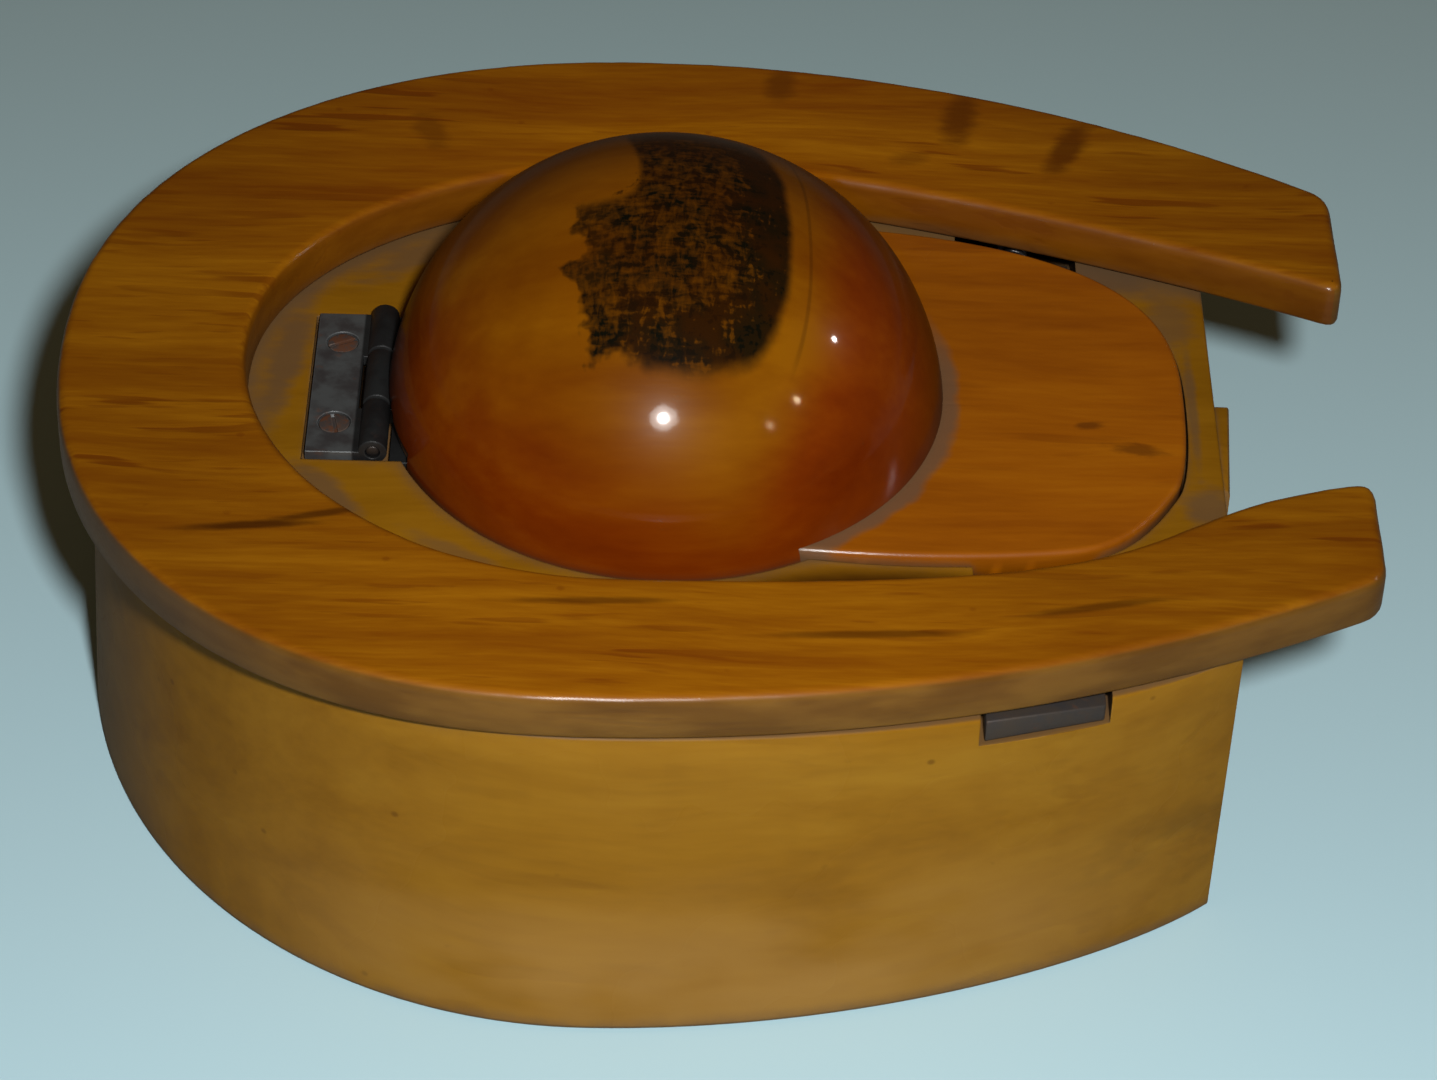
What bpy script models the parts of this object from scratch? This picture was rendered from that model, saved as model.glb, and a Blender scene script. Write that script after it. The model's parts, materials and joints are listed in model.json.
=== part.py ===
"""Horseshoe-shaped wooden inkwell with a jockey cap lid.

The box has a horseshoe plan with a square end at +X. A horseshoe plate lies on its top and its two
heels run past the square end. The lid is a jockey cap: a turned dome glued on a flat board whose
front is the peak. It swings on a butt hinge behind the cap, about an axis along Y, and a cross bar
under the peak holds it shut. A glass insert stands in a bored well under the dome.

+X runs from the toe of the horseshoe to its heels, +Z is up, the origin is the bottom centre of the
bounding box. Lengths below are millimetres; MM turns them into metres.
"""

import math

import bmesh
import bpy

MM = 0.001

# heights
BODY_TOP = 26.0  # the deck, the flat top of the box inside the horseshoe
GAP = 0.3  # glue line between two pieces that lie on each other
RIM_BOTTOM = BODY_TOP + GAP
RIM_TOP = 30.05
RECESS_FLOOR = 24.6  # shallow seat of the cap board in the deck
BOARD_BOTTOM = RECESS_FLOOR + GAP
BOARD_TOP = 26.9
DOME_BOTTOM = BOARD_TOP + GAP

# plan of the horseshoe plate, cut by hand, so its two arms differ a little
TOE_X = -47.7
HEEL_X = 47.7
OPENING_TOE_X = -34.0

# plan of the box
BODY_TOE_X_TOP = -45.4
BODY_TOE_X_BOTTOM = -46.6
BODY_HALF_WIDTH_TOP = 37.2
BODY_HALF_WIDTH_BOTTOM = 39.9
BODY_END_X = 37.6
BODY_END_HALF_TOP = 26.9
BODY_END_HALF_BOTTOM = 25.9

# cap
CAP_X = -3.2
DOME_Z = 24.5
DOME_RADIUS = 20.65
HOLLOW_RADIUS = 16.5
BOARD_RADIUS = 19.3  # inside the skirt of the dome
HINGE_BOARD_RADIUS = 20.3  # where the dome has no skirt, behind the hinge
HINGE_GAP_HALF = 8.7
SKIRT_BOTTOM = 25.1
PEAK_REACH = 38.4
PEAK_POWER_FAR = 2.8
PEAK_HALF_FAR = 20.6
PEAK_START_NEAR = (7.2, -17.8)  # the near edge of the peak leaves the dome here
RECESS_CLEARANCE = 0.45

# well and glass insert
WELL_RADIUS = 17.4
WELL_FLOOR = 4.0
BOTTLE_RADIUS = 17.0
BOTTLE_BOTTOM = WELL_FLOOR + GAP
BOTTLE_SHOULDER = 24.2
NECK_RADIUS = 9.5
MOUTH_RADIUS = 6.0
MOUTH_TOP = 30.2

# hinge
HINGE_X = -24.4
HINGE_Z = 26.5
PIN_RADIUS = 0.5
KNUCKLE_RADIUS = 1.05
KNUCKLE_BORE = 0.56
HINGE_HALF = 8.1
KNUCKLE_SPLIT = 2.9
LEAF_EDGE_X = -29.3

# latch
LATCH_X = 23.5
CHANNEL_HALF = 4.6
CHANNEL_FLOOR = 22.9
CHANNEL_FAR_Y = 30.5
BAR_HALF = 4.2
BAR_BOTTOM = 23.2
BAR_TOP = 24.5
BAR_FAR_Y = 19.0
BAR_STEP_Y = -28.6  # the bar steps up here into the tab that shows in the wall
BAR_TAB_BOTTOM = 23.95
BAR_TAB_TOP = (25.75, 25.35)  # the tab is worn lower on its heel side
LATCH_TRAVEL = 2.5


for old in list(bpy.data.objects):
    bpy.data.objects.remove(old, do_unlink=True)


def material(name, colour, roughness, metallic=0.0, alpha=1.0):
    """A plain Principled BSDF finish."""
    made = bpy.data.materials.new(name)
    made.use_nodes = True
    shader = made.node_tree.nodes["Principled BSDF"]
    shader.inputs["Base Color"].default_value = (*colour, 1.0)
    shader.inputs["Roughness"].default_value = roughness
    shader.inputs["Metallic"].default_value = metallic
    shader.inputs["Alpha"].default_value = alpha
    return made


def linked(name, bm, origin=(0, 0, 0), parent=None, finish=None, smooth=35.0):
    """Turns a bmesh in world millimetres into an object whose own origin is the given point."""
    bmesh.ops.remove_doubles(bm, verts=bm.verts, dist=1e-5)
    bmesh.ops.recalc_face_normals(bm, faces=bm.faces)
    for vert in bm.verts:
        vert.co = [(vert.co[i] - origin[i]) * MM for i in range(3)]
    mesh = bpy.data.meshes.new(name)
    bm.to_mesh(mesh)
    bm.free()
    if smooth:
        mesh.shade_smooth()
        mesh.set_sharp_from_angle(angle=math.radians(smooth))
    obj = bpy.data.objects.new(name, mesh)
    bpy.context.scene.collection.objects.link(obj)
    base = parent.location if parent else (0, 0, 0)
    obj.parent = parent
    obj.location = [origin[i] * MM - base[i] for i in range(3)]
    if finish:
        mesh.materials.append(finish)
    return obj


def helper(obj):
    """Marks a shape that only cuts or joins."""
    obj.hide_render = True
    obj.display_type = "WIRE"
    return obj


def combine(obj, other, operation):
    """Adds a Boolean with a helper shape."""
    mod = obj.modifiers.new(other.name, "BOOLEAN")
    mod.operation = operation
    mod.solver = "EXACT"
    mod.object = other


def axis_empty(name, at):
    """An empty that marks a joint's axis and carries the pieces that move on it."""
    empty = bpy.data.objects.new(name, None)
    empty.location = [c * MM for c in at]
    bpy.context.scene.collection.objects.link(empty)
    return empty


def loft(rings):
    """A closed solid through rings of equal count, with flat ends."""
    bm = bmesh.new()
    loops = [[bm.verts.new(p) for p in ring] for ring in rings]
    count = len(loops[0])
    for low, high in zip(loops, loops[1:]):
        for i in range(count):
            j = (i + 1) % count
            bm.faces.new((low[i], low[j], high[j], high[i]))
    bm.faces.new(list(reversed(loops[0])))
    bm.faces.new(loops[-1])
    return bm


def prism(outline, low, high):
    return loft([[(x, y, z) for x, y in outline] for z in (low, high)])


def block(low, high):
    return prism(
        [(low[0], low[1]), (high[0], low[1]), (high[0], high[1]), (low[0], high[1])],
        low[2],
        high[2],
    )


def lathe(profile, at, segments, closed=False):
    """Turns (radius, z) points about a vertical axis. An open profile starts and ends on the axis."""
    bm = bmesh.new()
    rings = []
    for radius, z in profile:
        if radius == 0:
            rings.append([bm.verts.new((at[0], at[1], z))])
            continue
        rings.append(
            [
                bm.verts.new(
                    (
                        at[0] + radius * math.cos(2 * math.pi * i / segments),
                        at[1] + radius * math.sin(2 * math.pi * i / segments),
                        z,
                    )
                )
                for i in range(segments)
            ]
        )
    pairs = list(zip(rings, rings[1:]))
    if closed:
        pairs.append((rings[-1], rings[0]))
    for a, b in pairs:
        for i in range(segments):
            j = (i + 1) % segments
            if len(a) == 1:
                bm.faces.new((a[0], b[i], b[j]))
            elif len(b) == 1:
                bm.faces.new((a[i], a[j], b[0]))
            else:
                bm.faces.new((a[i], a[j], b[j], b[i]))
    return bm


def rod_y(x, z, radius, low, high, segments):
    """A cylinder along Y."""
    bm = bmesh.new()
    ends = []
    for y in (low, high):
        ends.append(
            [
                bm.verts.new(
                    (
                        x + radius * math.cos(2 * math.pi * i / segments),
                        y,
                        z + radius * math.sin(2 * math.pi * i / segments),
                    )
                )
                for i in range(segments)
            ]
        )
    for i in range(segments):
        j = (i + 1) % segments
        bm.faces.new((ends[0][i], ends[0][j], ends[1][j], ends[1][i]))
    bm.faces.new(ends[0])
    bm.faces.new(ends[1])
    return bm


def side(toe_x, centre, half, power, end_x, end_half, pull, push_x, push_y, arch=20, run=16):
    """One side of a horseshoe curve, from its toe to its square end, as distances from the X axis.

    A superellipse quarter makes the toe arch. A Bezier run makes the side that closes in towards the
    end: it leaves the arch along X for pull, and comes to the end from push_x before and push_y outside it.
    """
    points = []
    reach = centre - toe_x
    for i in range(arch + 1):
        t = math.pi - 0.5 * math.pi * i / arch
        c, s = abs(math.cos(t)), abs(math.sin(t))
        points.append((centre - reach * c ** (2 / power), half * s ** (2 / power)))
    p = [
        (centre, half),
        (centre + pull, half),
        (end_x - push_x, end_half + push_y),
        (end_x, end_half),
    ]
    for i in range(1, run + 1):
        t = i / run
        w = ((1 - t) ** 3, 3 * (1 - t) ** 2 * t, 3 * (1 - t) * t * t, t**3)
        points.append(tuple(sum(w[k] * p[k][c] for k in range(4)) for c in (0, 1)))
    return points


def both_sides(far, near):
    """A closed counterclockwise outline from its two sides, which both start at the toe."""
    return [(x, -y) for x, y in near] + list(reversed(far[1:]))


def offset(outline, distance):
    """Moves a counterclockwise outline outwards, with mitred corners."""
    moved = []
    count = len(outline)
    for i in range(count):
        a, b, c = outline[i - 1], outline[i], outline[(i + 1) % count]
        n = []
        for p, q in ((a, b), (b, c)):
            dx, dy = q[0] - p[0], q[1] - p[1]
            length = math.hypot(dx, dy)
            n.append((dy / length, -dx / length))
        scale = 1 + n[0][0] * n[1][0] + n[0][1] * n[1][1]
        moved.append(
            (
                b[0] + distance * (n[0][0] + n[1][0]) / scale,
                b[1] + distance * (n[0][1] + n[1][1]) / scale,
            )
        )
    return moved


def layered(outline, layers):
    """A solid whose edge follows (inset, z) layers."""
    return loft([[(x, y, z) for x, y in offset(outline, -inset)] for inset, z in layers])


varnished_light = material("box_wood", (0.33, 0.16, 0.03), 0.28)
varnished_plate = material("plate_wood", (0.30, 0.115, 0.012), 0.25)
varnished_cap = material("cap_wood", (0.24, 0.06, 0.006), 0.12)
varnished_board = material("board_wood", (0.26, 0.08, 0.008), 0.3)
bare_wood = material("boss_wood", (0.42, 0.27, 0.12), 0.6)
dark_steel = material("hinge_steel", (0.05, 0.052, 0.055), 0.45, 0.9)
pin_steel = material("pin_steel", (0.12, 0.12, 0.12), 0.35, 1.0)
bar_steel = material("bar_steel", (0.13, 0.12, 0.11), 0.4, 0.9)
screw_steel = material("screw_steel", (0.16, 0.08, 0.05), 0.5, 0.8)
spring_steel = material("spring_steel", (0.2, 0.2, 0.21), 0.3, 1.0)
clear_glass = material("insert_glass", (0.75, 0.85, 0.82), 0.05, 0.0, 0.35)
pad_leather = material("pad_leather", (0.12, 0.05, 0.025), 0.7)
screw_brass = material("screw_brass", (0.6, 0.42, 0.16), 0.3, 1.0)

lid_axis = axis_empty("lid_axis", (HINGE_X, 0, HINGE_Z))
latch_axis = axis_empty("latch_axis", (LATCH_X, 0, BAR_BOTTOM))
HINGE_AT = (HINGE_X, 0, HINGE_Z)
LATCH_AT = (LATCH_X, 0, BAR_BOTTOM)

# ---------------------------------------------------------------- outlines
rim_far = side(TOE_X, -4.5, 37.5, 2.17, HEEL_X, 21.6, 12.3, 20.6, 13.1)
rim_near = side(TOE_X, -8.6, 37.6, 2.19, HEEL_X, 23.1, 22.2, 16.0, 8.6)
opening_far = side(OPENING_TOE_X, -2.0, 23.5, 2.1, HEEL_X, 9.4, 12.0, 14.0, 6.3, 16, 14)
opening_near = side(OPENING_TOE_X, -6.5, 24.8, 2.0, HEEL_X, 12.4, 46.0, 20.5, 4.1, 16, 14)
rim_outline = (
    [(x, -y) for x, y in rim_near]
    + [(x, -y) for x, y in reversed(opening_near)]
    + opening_far[1:]
    + list(reversed(rim_far[1:]))
)


def body_side(toe_x, half, end_half):
    return side(toe_x, -8.0, half, 2.0, BODY_END_X, end_half, 18.5, 8.0, 6.6)


bottom_side = body_side(BODY_TOE_X_BOTTOM, BODY_HALF_WIDTH_BOTTOM, BODY_END_HALF_BOTTOM)
top_side = body_side(BODY_TOE_X_TOP, BODY_HALF_WIDTH_TOP, BODY_END_HALF_TOP)
body_bottom = both_sides(bottom_side, bottom_side)
body_top = both_sides(top_side, top_side)


def bezier(a, b, c, d, steps):
    out = []
    for i in range(1, steps + 1):
        t = i / steps
        w = ((1 - t) ** 3, 3 * (1 - t) ** 2 * t, 3 * (1 - t) * t * t, t**3)
        out.append(tuple(sum(w[k] * (a, b, c, d)[k][n] for k in range(4)) for n in (0, 1)))
    return out


def peak_far(steps=14):
    """The far side of the peak, from its tip to where it runs tangent into the dome's circle."""
    points = []
    for i in range(steps + 1):
        t = 0.5 * math.pi * i / steps
        c, s = abs(math.cos(t)), abs(math.sin(t))
        points.append((CAP_X + PEAK_REACH * c ** (2 / PEAK_POWER_FAR), PEAK_HALF_FAR * s ** (2 / PEAK_POWER_FAR)))
    return points


def peak_near(start):
    """The near side of the peak, from the dome round a wide corner to the tip."""
    points = [start]
    points += bezier(start, (13.0, -18.6), (20.0, -18.5), (26.2, -17.5), 5)
    points += bezier((26.2, -17.5), (30.2, -16.9), (32.4, -13.2), (34.2, -9.8), 7)
    points += bezier((34.2, -9.8), (35.0, -7.4), (CAP_X + PEAK_REACH, -3.6), (CAP_X + PEAK_REACH, 0.0), 4)
    return points[:-1]


def circle_part(radius, start, end, steps):
    """Points about the cap's centre, between two angles in degrees."""
    return [
        (
            CAP_X + radius * math.cos(math.radians(start + (end - start) * i / steps)),
            radius * math.sin(math.radians(start + (end - start) * i / steps)),
        )
        for i in range(steps + 1)
    ]


def board_outline():
    """The board is round under the dome, and stretched into the peak in front of it."""
    hinge = math.degrees(math.asin(HINGE_GAP_HALF / HINGE_BOARD_RADIUS))
    hinge_in = math.degrees(math.asin(HINGE_GAP_HALF / BOARD_RADIUS))
    near = 360 - math.degrees(math.asin(-PEAK_START_NEAR[1] / BOARD_RADIUS))
    start = circle_part(BOARD_RADIUS, near, near, 1)[0]
    return (
        peak_far()
        + circle_part(BOARD_RADIUS, 91.5, 180 - hinge_in, 12)
        + circle_part(HINGE_BOARD_RADIUS, 180 - hinge, 180 + hinge, 8)
        + circle_part(BOARD_RADIUS, 180 + hinge_in, near, 20)[:-1]
        + peak_near(start)
    )


def seat_outline(grow):
    """The dome and the peak together, for the shallow seat in the deck."""
    near = 360 - math.degrees(math.asin(-PEAK_START_NEAR[1] / DOME_RADIUS))
    start = circle_part(DOME_RADIUS, near, near, 1)[0]
    return offset(peak_far() + circle_part(DOME_RADIUS, 93, near, 32)[:-1] + peak_near(start), grow)


# ---------------------------------------------------------------- box
LEAN = [(0.5, 0.0), (0.0, 0.5)]  # small chamfer round the foot


def body_rings():
    rings = []
    for inset, z in ((0.5, 0.0), (0.0, 0.6), (0.0, 9.0), (0.0, 18.0), (0.0, BODY_TOP)):
        share = z / BODY_TOP
        low, high = offset(body_bottom, -inset), offset(body_top, -inset)
        rings.append(
            [
                (a[0] + (b[0] - a[0]) * share, a[1] + (b[1] - a[1]) * share, z)
                for a, b in zip(low, high)
            ]
        )
    return rings


body = linked("body", loft(body_rings()), finish=varnished_light)

# A low lip stands on the near half of the square end, below the deck, and tapers towards the near side.
end_lip = helper(
    linked(
        "add_end_lip",
        prism(
            [(BODY_END_X - 2, -8.8), (BODY_END_X + 0.5, -8.8), (BODY_END_X + 1.2, 1.2), (BODY_END_X - 2, 1.2)],
            12.0,
            BODY_TOP - 0.5,
        ),
    )
)
combine(body, end_lip, "UNION")

well_cut = helper(
    linked("cut_well", lathe([(0, WELL_FLOOR), (WELL_RADIUS, WELL_FLOOR), (WELL_RADIUS, 31), (0, 31)], (CAP_X, 0), 48))
)
seat_cut = helper(linked("cut_seat", prism(seat_outline(RECESS_CLEARANCE), RECESS_FLOOR, 31)))
channel_cut = helper(
    linked(
        "cut_channel",
        block((LATCH_X - CHANNEL_HALF, BAR_STEP_Y - 0.4, CHANNEL_FLOOR), (LATCH_X + CHANNEL_HALF, CHANNEL_FAR_Y, 31)),
    )
)
mouth_cut = helper(
    linked(
        "cut_channel_mouth",
        block((LATCH_X - CHANNEL_HALF, -45, BAR_TAB_BOTTOM - 0.25), (LATCH_X + CHANNEL_HALF, BAR_STEP_Y + 1, 31)),
    )
)
mortise_cut = helper(
    linked("cut_mortise", block((LEAF_EDGE_X - 0.3, -HINGE_HALF - 0.3, 25.4), (-25.0, HINGE_HALF + 0.3, 31)))
)
trough_cut = helper(
    linked("cut_trough", block((HINGE_X - 1.4, -HINGE_HALF - 0.3, 24.6), (-19.8, HINGE_HALF + 0.3, 31)))
)
hook_pocket = helper(
    linked("cut_hook_pocket", block((LATCH_X - 2.1, -2.3, 20.8), (LATCH_X + 2.1, 3.0, CHANNEL_FLOOR + 1)))
)
stop_hole = helper(
    linked("cut_stop_hole", lathe([(0, 19.9), (0.92, 19.9), (0.92, 24), (0, 24)], (LATCH_X, -14.0), 16))
)
for cutter in (well_cut, seat_cut, channel_cut, mouth_cut, mortise_cut, trough_cut, hook_pocket, stop_hole):
    combine(body, cutter, "DIFFERENCE")

# ---------------------------------------------------------------- horseshoe plate
rim = linked(
    "horseshoe_plate",
    layered(
        rim_outline,
        [
            (0.25, RIM_BOTTOM),
            (0.0, RIM_BOTTOM + 0.3),
            (0.0, RIM_TOP - 0.8),
            (0.22, RIM_TOP - 0.24),
            (0.8, RIM_TOP),
        ],
    ),
    finish=varnished_plate,
)


# ---------------------------------------------------------------- cap dome and board
def arc(radius, z_from, steps):
    """Profile points of a ball of the given radius about the dome's centre, from a height to its top."""
    start = math.asin((z_from - DOME_Z) / radius)
    return [
        (
            radius * math.cos(start + (math.pi / 2 - start) * i / steps) if i < steps else 0,
            DOME_Z + radius * math.sin(start + (math.pi / 2 - start) * i / steps),
        )
        for i in range(steps + 1)
    ]


dome = linked(
    "cap_dome",
    lathe(
        list(reversed(arc(DOME_RADIUS, SKIRT_BOTTOM, 14))) + arc(HOLLOW_RADIUS, SKIRT_BOTTOM, 8),
        (CAP_X, 0),
        56,
    ),
    origin=HINGE_AT,
    parent=lid_axis,
    finish=varnished_cap,
)
board = linked(
    "cap_board",
    layered(board_outline(), [(0.0, BOARD_BOTTOM), (0.0, BOARD_TOP - 0.4), (0.12, BOARD_TOP - 0.12), (0.4, BOARD_TOP)]),
    origin=HINGE_AT,
    parent=lid_axis,
    finish=varnished_board,
)
hole_cut = helper(
    linked("cut_board_hole", lathe([(0, 20), (HOLLOW_RADIUS, 20), (HOLLOW_RADIUS, 28), (0, 28)], (CAP_X, 0), 48))
)
hinge_clear = helper(
    linked("cut_hinge_clearance", rod_y(HINGE_X, HINGE_Z, 1.4, -HINGE_HALF - 0.3, HINGE_HALF + 0.3, 24))
)
leaf_pocket = helper(
    linked("cut_leaf_pocket", block((-26.0, -HINGE_HALF - 0.3, 20), (-19.9, HINGE_HALF + 0.3, 25.9)))
)
hook_seat = helper(
    linked("cut_hook_seat", block((LATCH_X - 3.1, -5.8, 20), (LATCH_X + 3.1, 5.8, 25.9)))
)
board_room = helper(linked("cut_board_room", prism(offset(board_outline(), GAP), 20, DOME_BOTTOM)))
skirt_gap = helper(
    linked("cut_skirt_gap", block((-26.0, -HINGE_GAP_HALF, 20), (-19.0, HINGE_GAP_HALF, DOME_BOTTOM + 0.02)))
)
combine(dome, board_room, "DIFFERENCE")
combine(dome, skirt_gap, "DIFFERENCE")
combine(board, hole_cut, "DIFFERENCE")
combine(board, leaf_pocket, "DIFFERENCE")
combine(board, hinge_clear, "DIFFERENCE")
combine(board, hook_seat, "DIFFERENCE")
combine(dome, hinge_clear, "DIFFERENCE")

# ---------------------------------------------------------------- glass insert
insert = linked(
    "ink_insert",
    lathe(
        [
            (0, BOTTLE_BOTTOM),
            (BOTTLE_RADIUS - 1.2, BOTTLE_BOTTOM),
            (BOTTLE_RADIUS, BOTTLE_BOTTOM + 1.2),
            (BOTTLE_RADIUS, BOTTLE_SHOULDER - 3.0),
            (BOTTLE_RADIUS - 1.4, BOTTLE_SHOULDER - 1.0),
            (BOTTLE_RADIUS - 4.0, BOTTLE_SHOULDER),
            (NECK_RADIUS + 0.6, BOTTLE_SHOULDER + 0.5),
            (NECK_RADIUS, BOTTLE_SHOULDER + 1.4),
            (NECK_RADIUS, MOUTH_TOP - 0.5),
            (NECK_RADIUS - 0.5, MOUTH_TOP),
            (MOUTH_RADIUS + 0.5, MOUTH_TOP),
            (MOUTH_RADIUS, MOUTH_TOP - 0.5),
            (MOUTH_RADIUS, BOTTLE_SHOULDER + 1.0),
            (MOUTH_RADIUS + 1.5, BOTTLE_SHOULDER - 1.6),
            (BOTTLE_RADIUS - 4.0, BOTTLE_SHOULDER - 4.0),
            (BOTTLE_RADIUS - 3.0, BOTTLE_SHOULDER - 6.0),
            (BOTTLE_RADIUS - 3.0, 9.5),
            (BOTTLE_RADIUS - 6.0, 7.6),
            (0, 7.2),
        ],
        (CAP_X, 0),
        40,
    ),
    finish=clear_glass,
)

# ---------------------------------------------------------------- stopper under the dome
BOSS_TOP = 39.6
boss = linked(
    "seal_boss",
    lathe(
        [
            (1.05, 32.3),
            (7.2, 32.3),
            (7.2, 33.8),
            (5.2, 34.6),
            (4.8, 36.5),
            (5.4, BOSS_TOP),
            (1.05, BOSS_TOP),
        ],
        (CAP_X, 0),
        32,
        closed=True,
    ),
    origin=HINGE_AT,
    parent=lid_axis,
    finish=bare_wood,
)
pad = linked(
    "seal_pad",
    lathe([(1.05, 30.5), (7.8, 30.5), (8.0, 31.0), (8.0, 31.7), (7.8, 32.0), (1.05, 32.0)], (CAP_X, 0), 32, closed=True),
    origin=HINGE_AT,
    parent=lid_axis,
    finish=pad_leather,
)


def screw(name, x, y, head_z, reach, shank, head, up=False, parent=None, origin=(0, 0, 0), finish=screw_steel, flat=0.0):
    """A countersunk wood screw with a slot. It runs down from head_z, or up where up is set."""
    sign = 1 if up else -1
    depth = head - shank
    profile = [
        (0, head_z),
        (head, head_z),
        (head, head_z + sign * (0.12 + flat)),
        (shank, head_z + sign * (0.12 + flat + depth)),
        (shank, head_z + sign * (reach - 1.5 * shank)),
        (0.15 * shank, head_z + sign * reach),
        (0, head_z + sign * reach),
    ]
    made = linked(name, lathe(profile, (x, y), 20), origin=origin, parent=parent, finish=finish)
    low, high = sorted((head_z - sign * 0.5, head_z + sign * 0.28))
    slot = helper(linked("cut_slot_" + name, block((x - 0.14, y - 2 * head, low), (x + 0.14, y + 2 * head, high))))
    combine(made, slot, "DIFFERENCE")
    return made


def screw_hole(name, x, y, head_z, reach, shank, head, up=False, gap=0.12):
    """The hole and countersink a screw of the same sizes sits in."""
    sign = 1 if up else -1
    depth = head - shank
    profile = [
        (0, head_z - sign * 0.8),
        (head + gap, head_z - sign * 0.8),
        (head + gap, head_z + sign * (0.12 + gap)),
        (shank + gap, head_z + sign * (0.12 + gap + depth)),
        (shank + gap, head_z + sign * (reach + gap)),
        (0, head_z + sign * (reach + gap)),
    ]
    return helper(linked("cut_hole_" + name, lathe(profile, (x, y), 20)))


screw(
    "seal_screw",
    CAP_X,
    0,
    29.9,
    12.4,
    0.85,
    2.2,
    up=True,
    parent=lid_axis,
    origin=HINGE_AT,
    finish=screw_brass,
    flat=0.05,
)
seal_hole = helper(linked("cut_seal_hole", lathe([(0, 38), (1.0, 38), (1.0, 42.6), (0, 42.6)], (CAP_X, 0), 20)))
combine(dome, seal_hole, "DIFFERENCE")
pad_sink = helper(
    linked("cut_pad_sink", lathe([(0, 29), (2.5, 29), (2.5, 30.55), (1.0, 32.3), (0, 32.3)], (CAP_X, 0), 20))
)
combine(pad, pad_sink, "DIFFERENCE")

# ---------------------------------------------------------------- hinge
base_leaf = linked(
    "hinge_base_leaf",
    block((LEAF_EDGE_X, -HINGE_HALF, 25.7), (HINGE_X - 1.35, HINGE_HALF, HINGE_Z)),
    finish=dark_steel,
    smooth=30,
)
for index, (low, high) in enumerate(((-HINGE_HALF, -KNUCKLE_SPLIT - 0.15), (KNUCKLE_SPLIT + 0.15, HINGE_HALF))):
    tongue = helper(linked(f"add_tongue_{index}", block((HINGE_X - 1.6, low, 25.7), (HINGE_X - 0.2, high, HINGE_Z))))
    knuckle = helper(linked(f"add_base_knuckle_{index}", rod_y(HINGE_X, HINGE_Z, KNUCKLE_RADIUS, low, high, 24)))
    combine(base_leaf, tongue, "UNION")
    combine(base_leaf, knuckle, "UNION")
pin_bore = helper(linked("cut_pin_bore", rod_y(HINGE_X, HINGE_Z, KNUCKLE_BORE, -9, 9, 24)))
combine(base_leaf, pin_bore, "DIFFERENCE")

cap_leaf = linked(
    "hinge_cap_leaf",
    block((-23.2, -HINGE_HALF, BOARD_BOTTOM), (-20.2, HINGE_HALF, 25.6)),
    origin=HINGE_AT,
    parent=lid_axis,
    finish=dark_steel,
    smooth=30,
)
web = helper(
    linked("add_web", block((-24.1, -KNUCKLE_SPLIT + 0.15, BOARD_BOTTOM), (-22.6, KNUCKLE_SPLIT - 0.15, 26.2)))
)
middle = helper(
    linked(
        "add_cap_knuckle",
        rod_y(HINGE_X, HINGE_Z, KNUCKLE_RADIUS, -KNUCKLE_SPLIT + 0.15, KNUCKLE_SPLIT - 0.15, 24),
    )
)
combine(cap_leaf, web, "UNION")
combine(cap_leaf, middle, "UNION")
combine(cap_leaf, pin_bore, "DIFFERENCE")
# The board and the dome leave room for the web.
web_room = helper(
    linked("cut_web_room", block((-25.0, -KNUCKLE_SPLIT - 0.15, 24), (-22.3, KNUCKLE_SPLIT + 0.15, 26.5)))
)
combine(board, web_room, "DIFFERENCE")

linked("hinge_pin", rod_y(HINGE_X, HINGE_Z, PIN_RADIUS, -HINGE_HALF + 0.1, HINGE_HALF - 0.1, 20), finish=pin_steel)

BASE_SCREWS = [(-27.4, -4.7), (-27.4, 4.7)]
for index, (x, y) in enumerate(BASE_SCREWS, 1):
    screw(f"hinge_base_screw_{index}", x, y, HINGE_Z - 0.05, 6.0, 0.55, 1.1)
    hole = screw_hole(f"base_{index}", x, y, HINGE_Z - 0.05, 6.0, 0.55, 1.1)
    combine(base_leaf, hole, "DIFFERENCE")
    combine(body, hole, "DIFFERENCE")

CAP_SCREWS = [(-21.6, -5.0), (-21.6, 5.0)]
for index, (x, y) in enumerate(CAP_SCREWS, 1):
    screw(
        f"hinge_cap_screw_{index}", x, y, BOARD_BOTTOM + 0.05, 4.6, 0.5, 0.95, up=True, parent=lid_axis, origin=HINGE_AT
    )
    hole = screw_hole(f"cap_{index}", x, y, BOARD_BOTTOM + 0.05, 4.6, 0.5, 0.95, up=True)
    for target in (cap_leaf, board, dome):
        combine(target, hole, "DIFFERENCE")


# ---------------------------------------------------------------- latch
def wall_y(x, z):
    """Distance of the leaning side wall from the X axis at x and height z."""
    widths = []
    for line in (bottom_side, top_side):
        for (x0, y0), (x1, y1) in zip(line, line[1:]):
            if x0 <= x <= x1:
                widths.append(y0 + (y1 - y0) * (x - x0) / (x1 - x0))
                break
    return widths[0] + (widths[1] - widths[0]) * z / BODY_TOP


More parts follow.
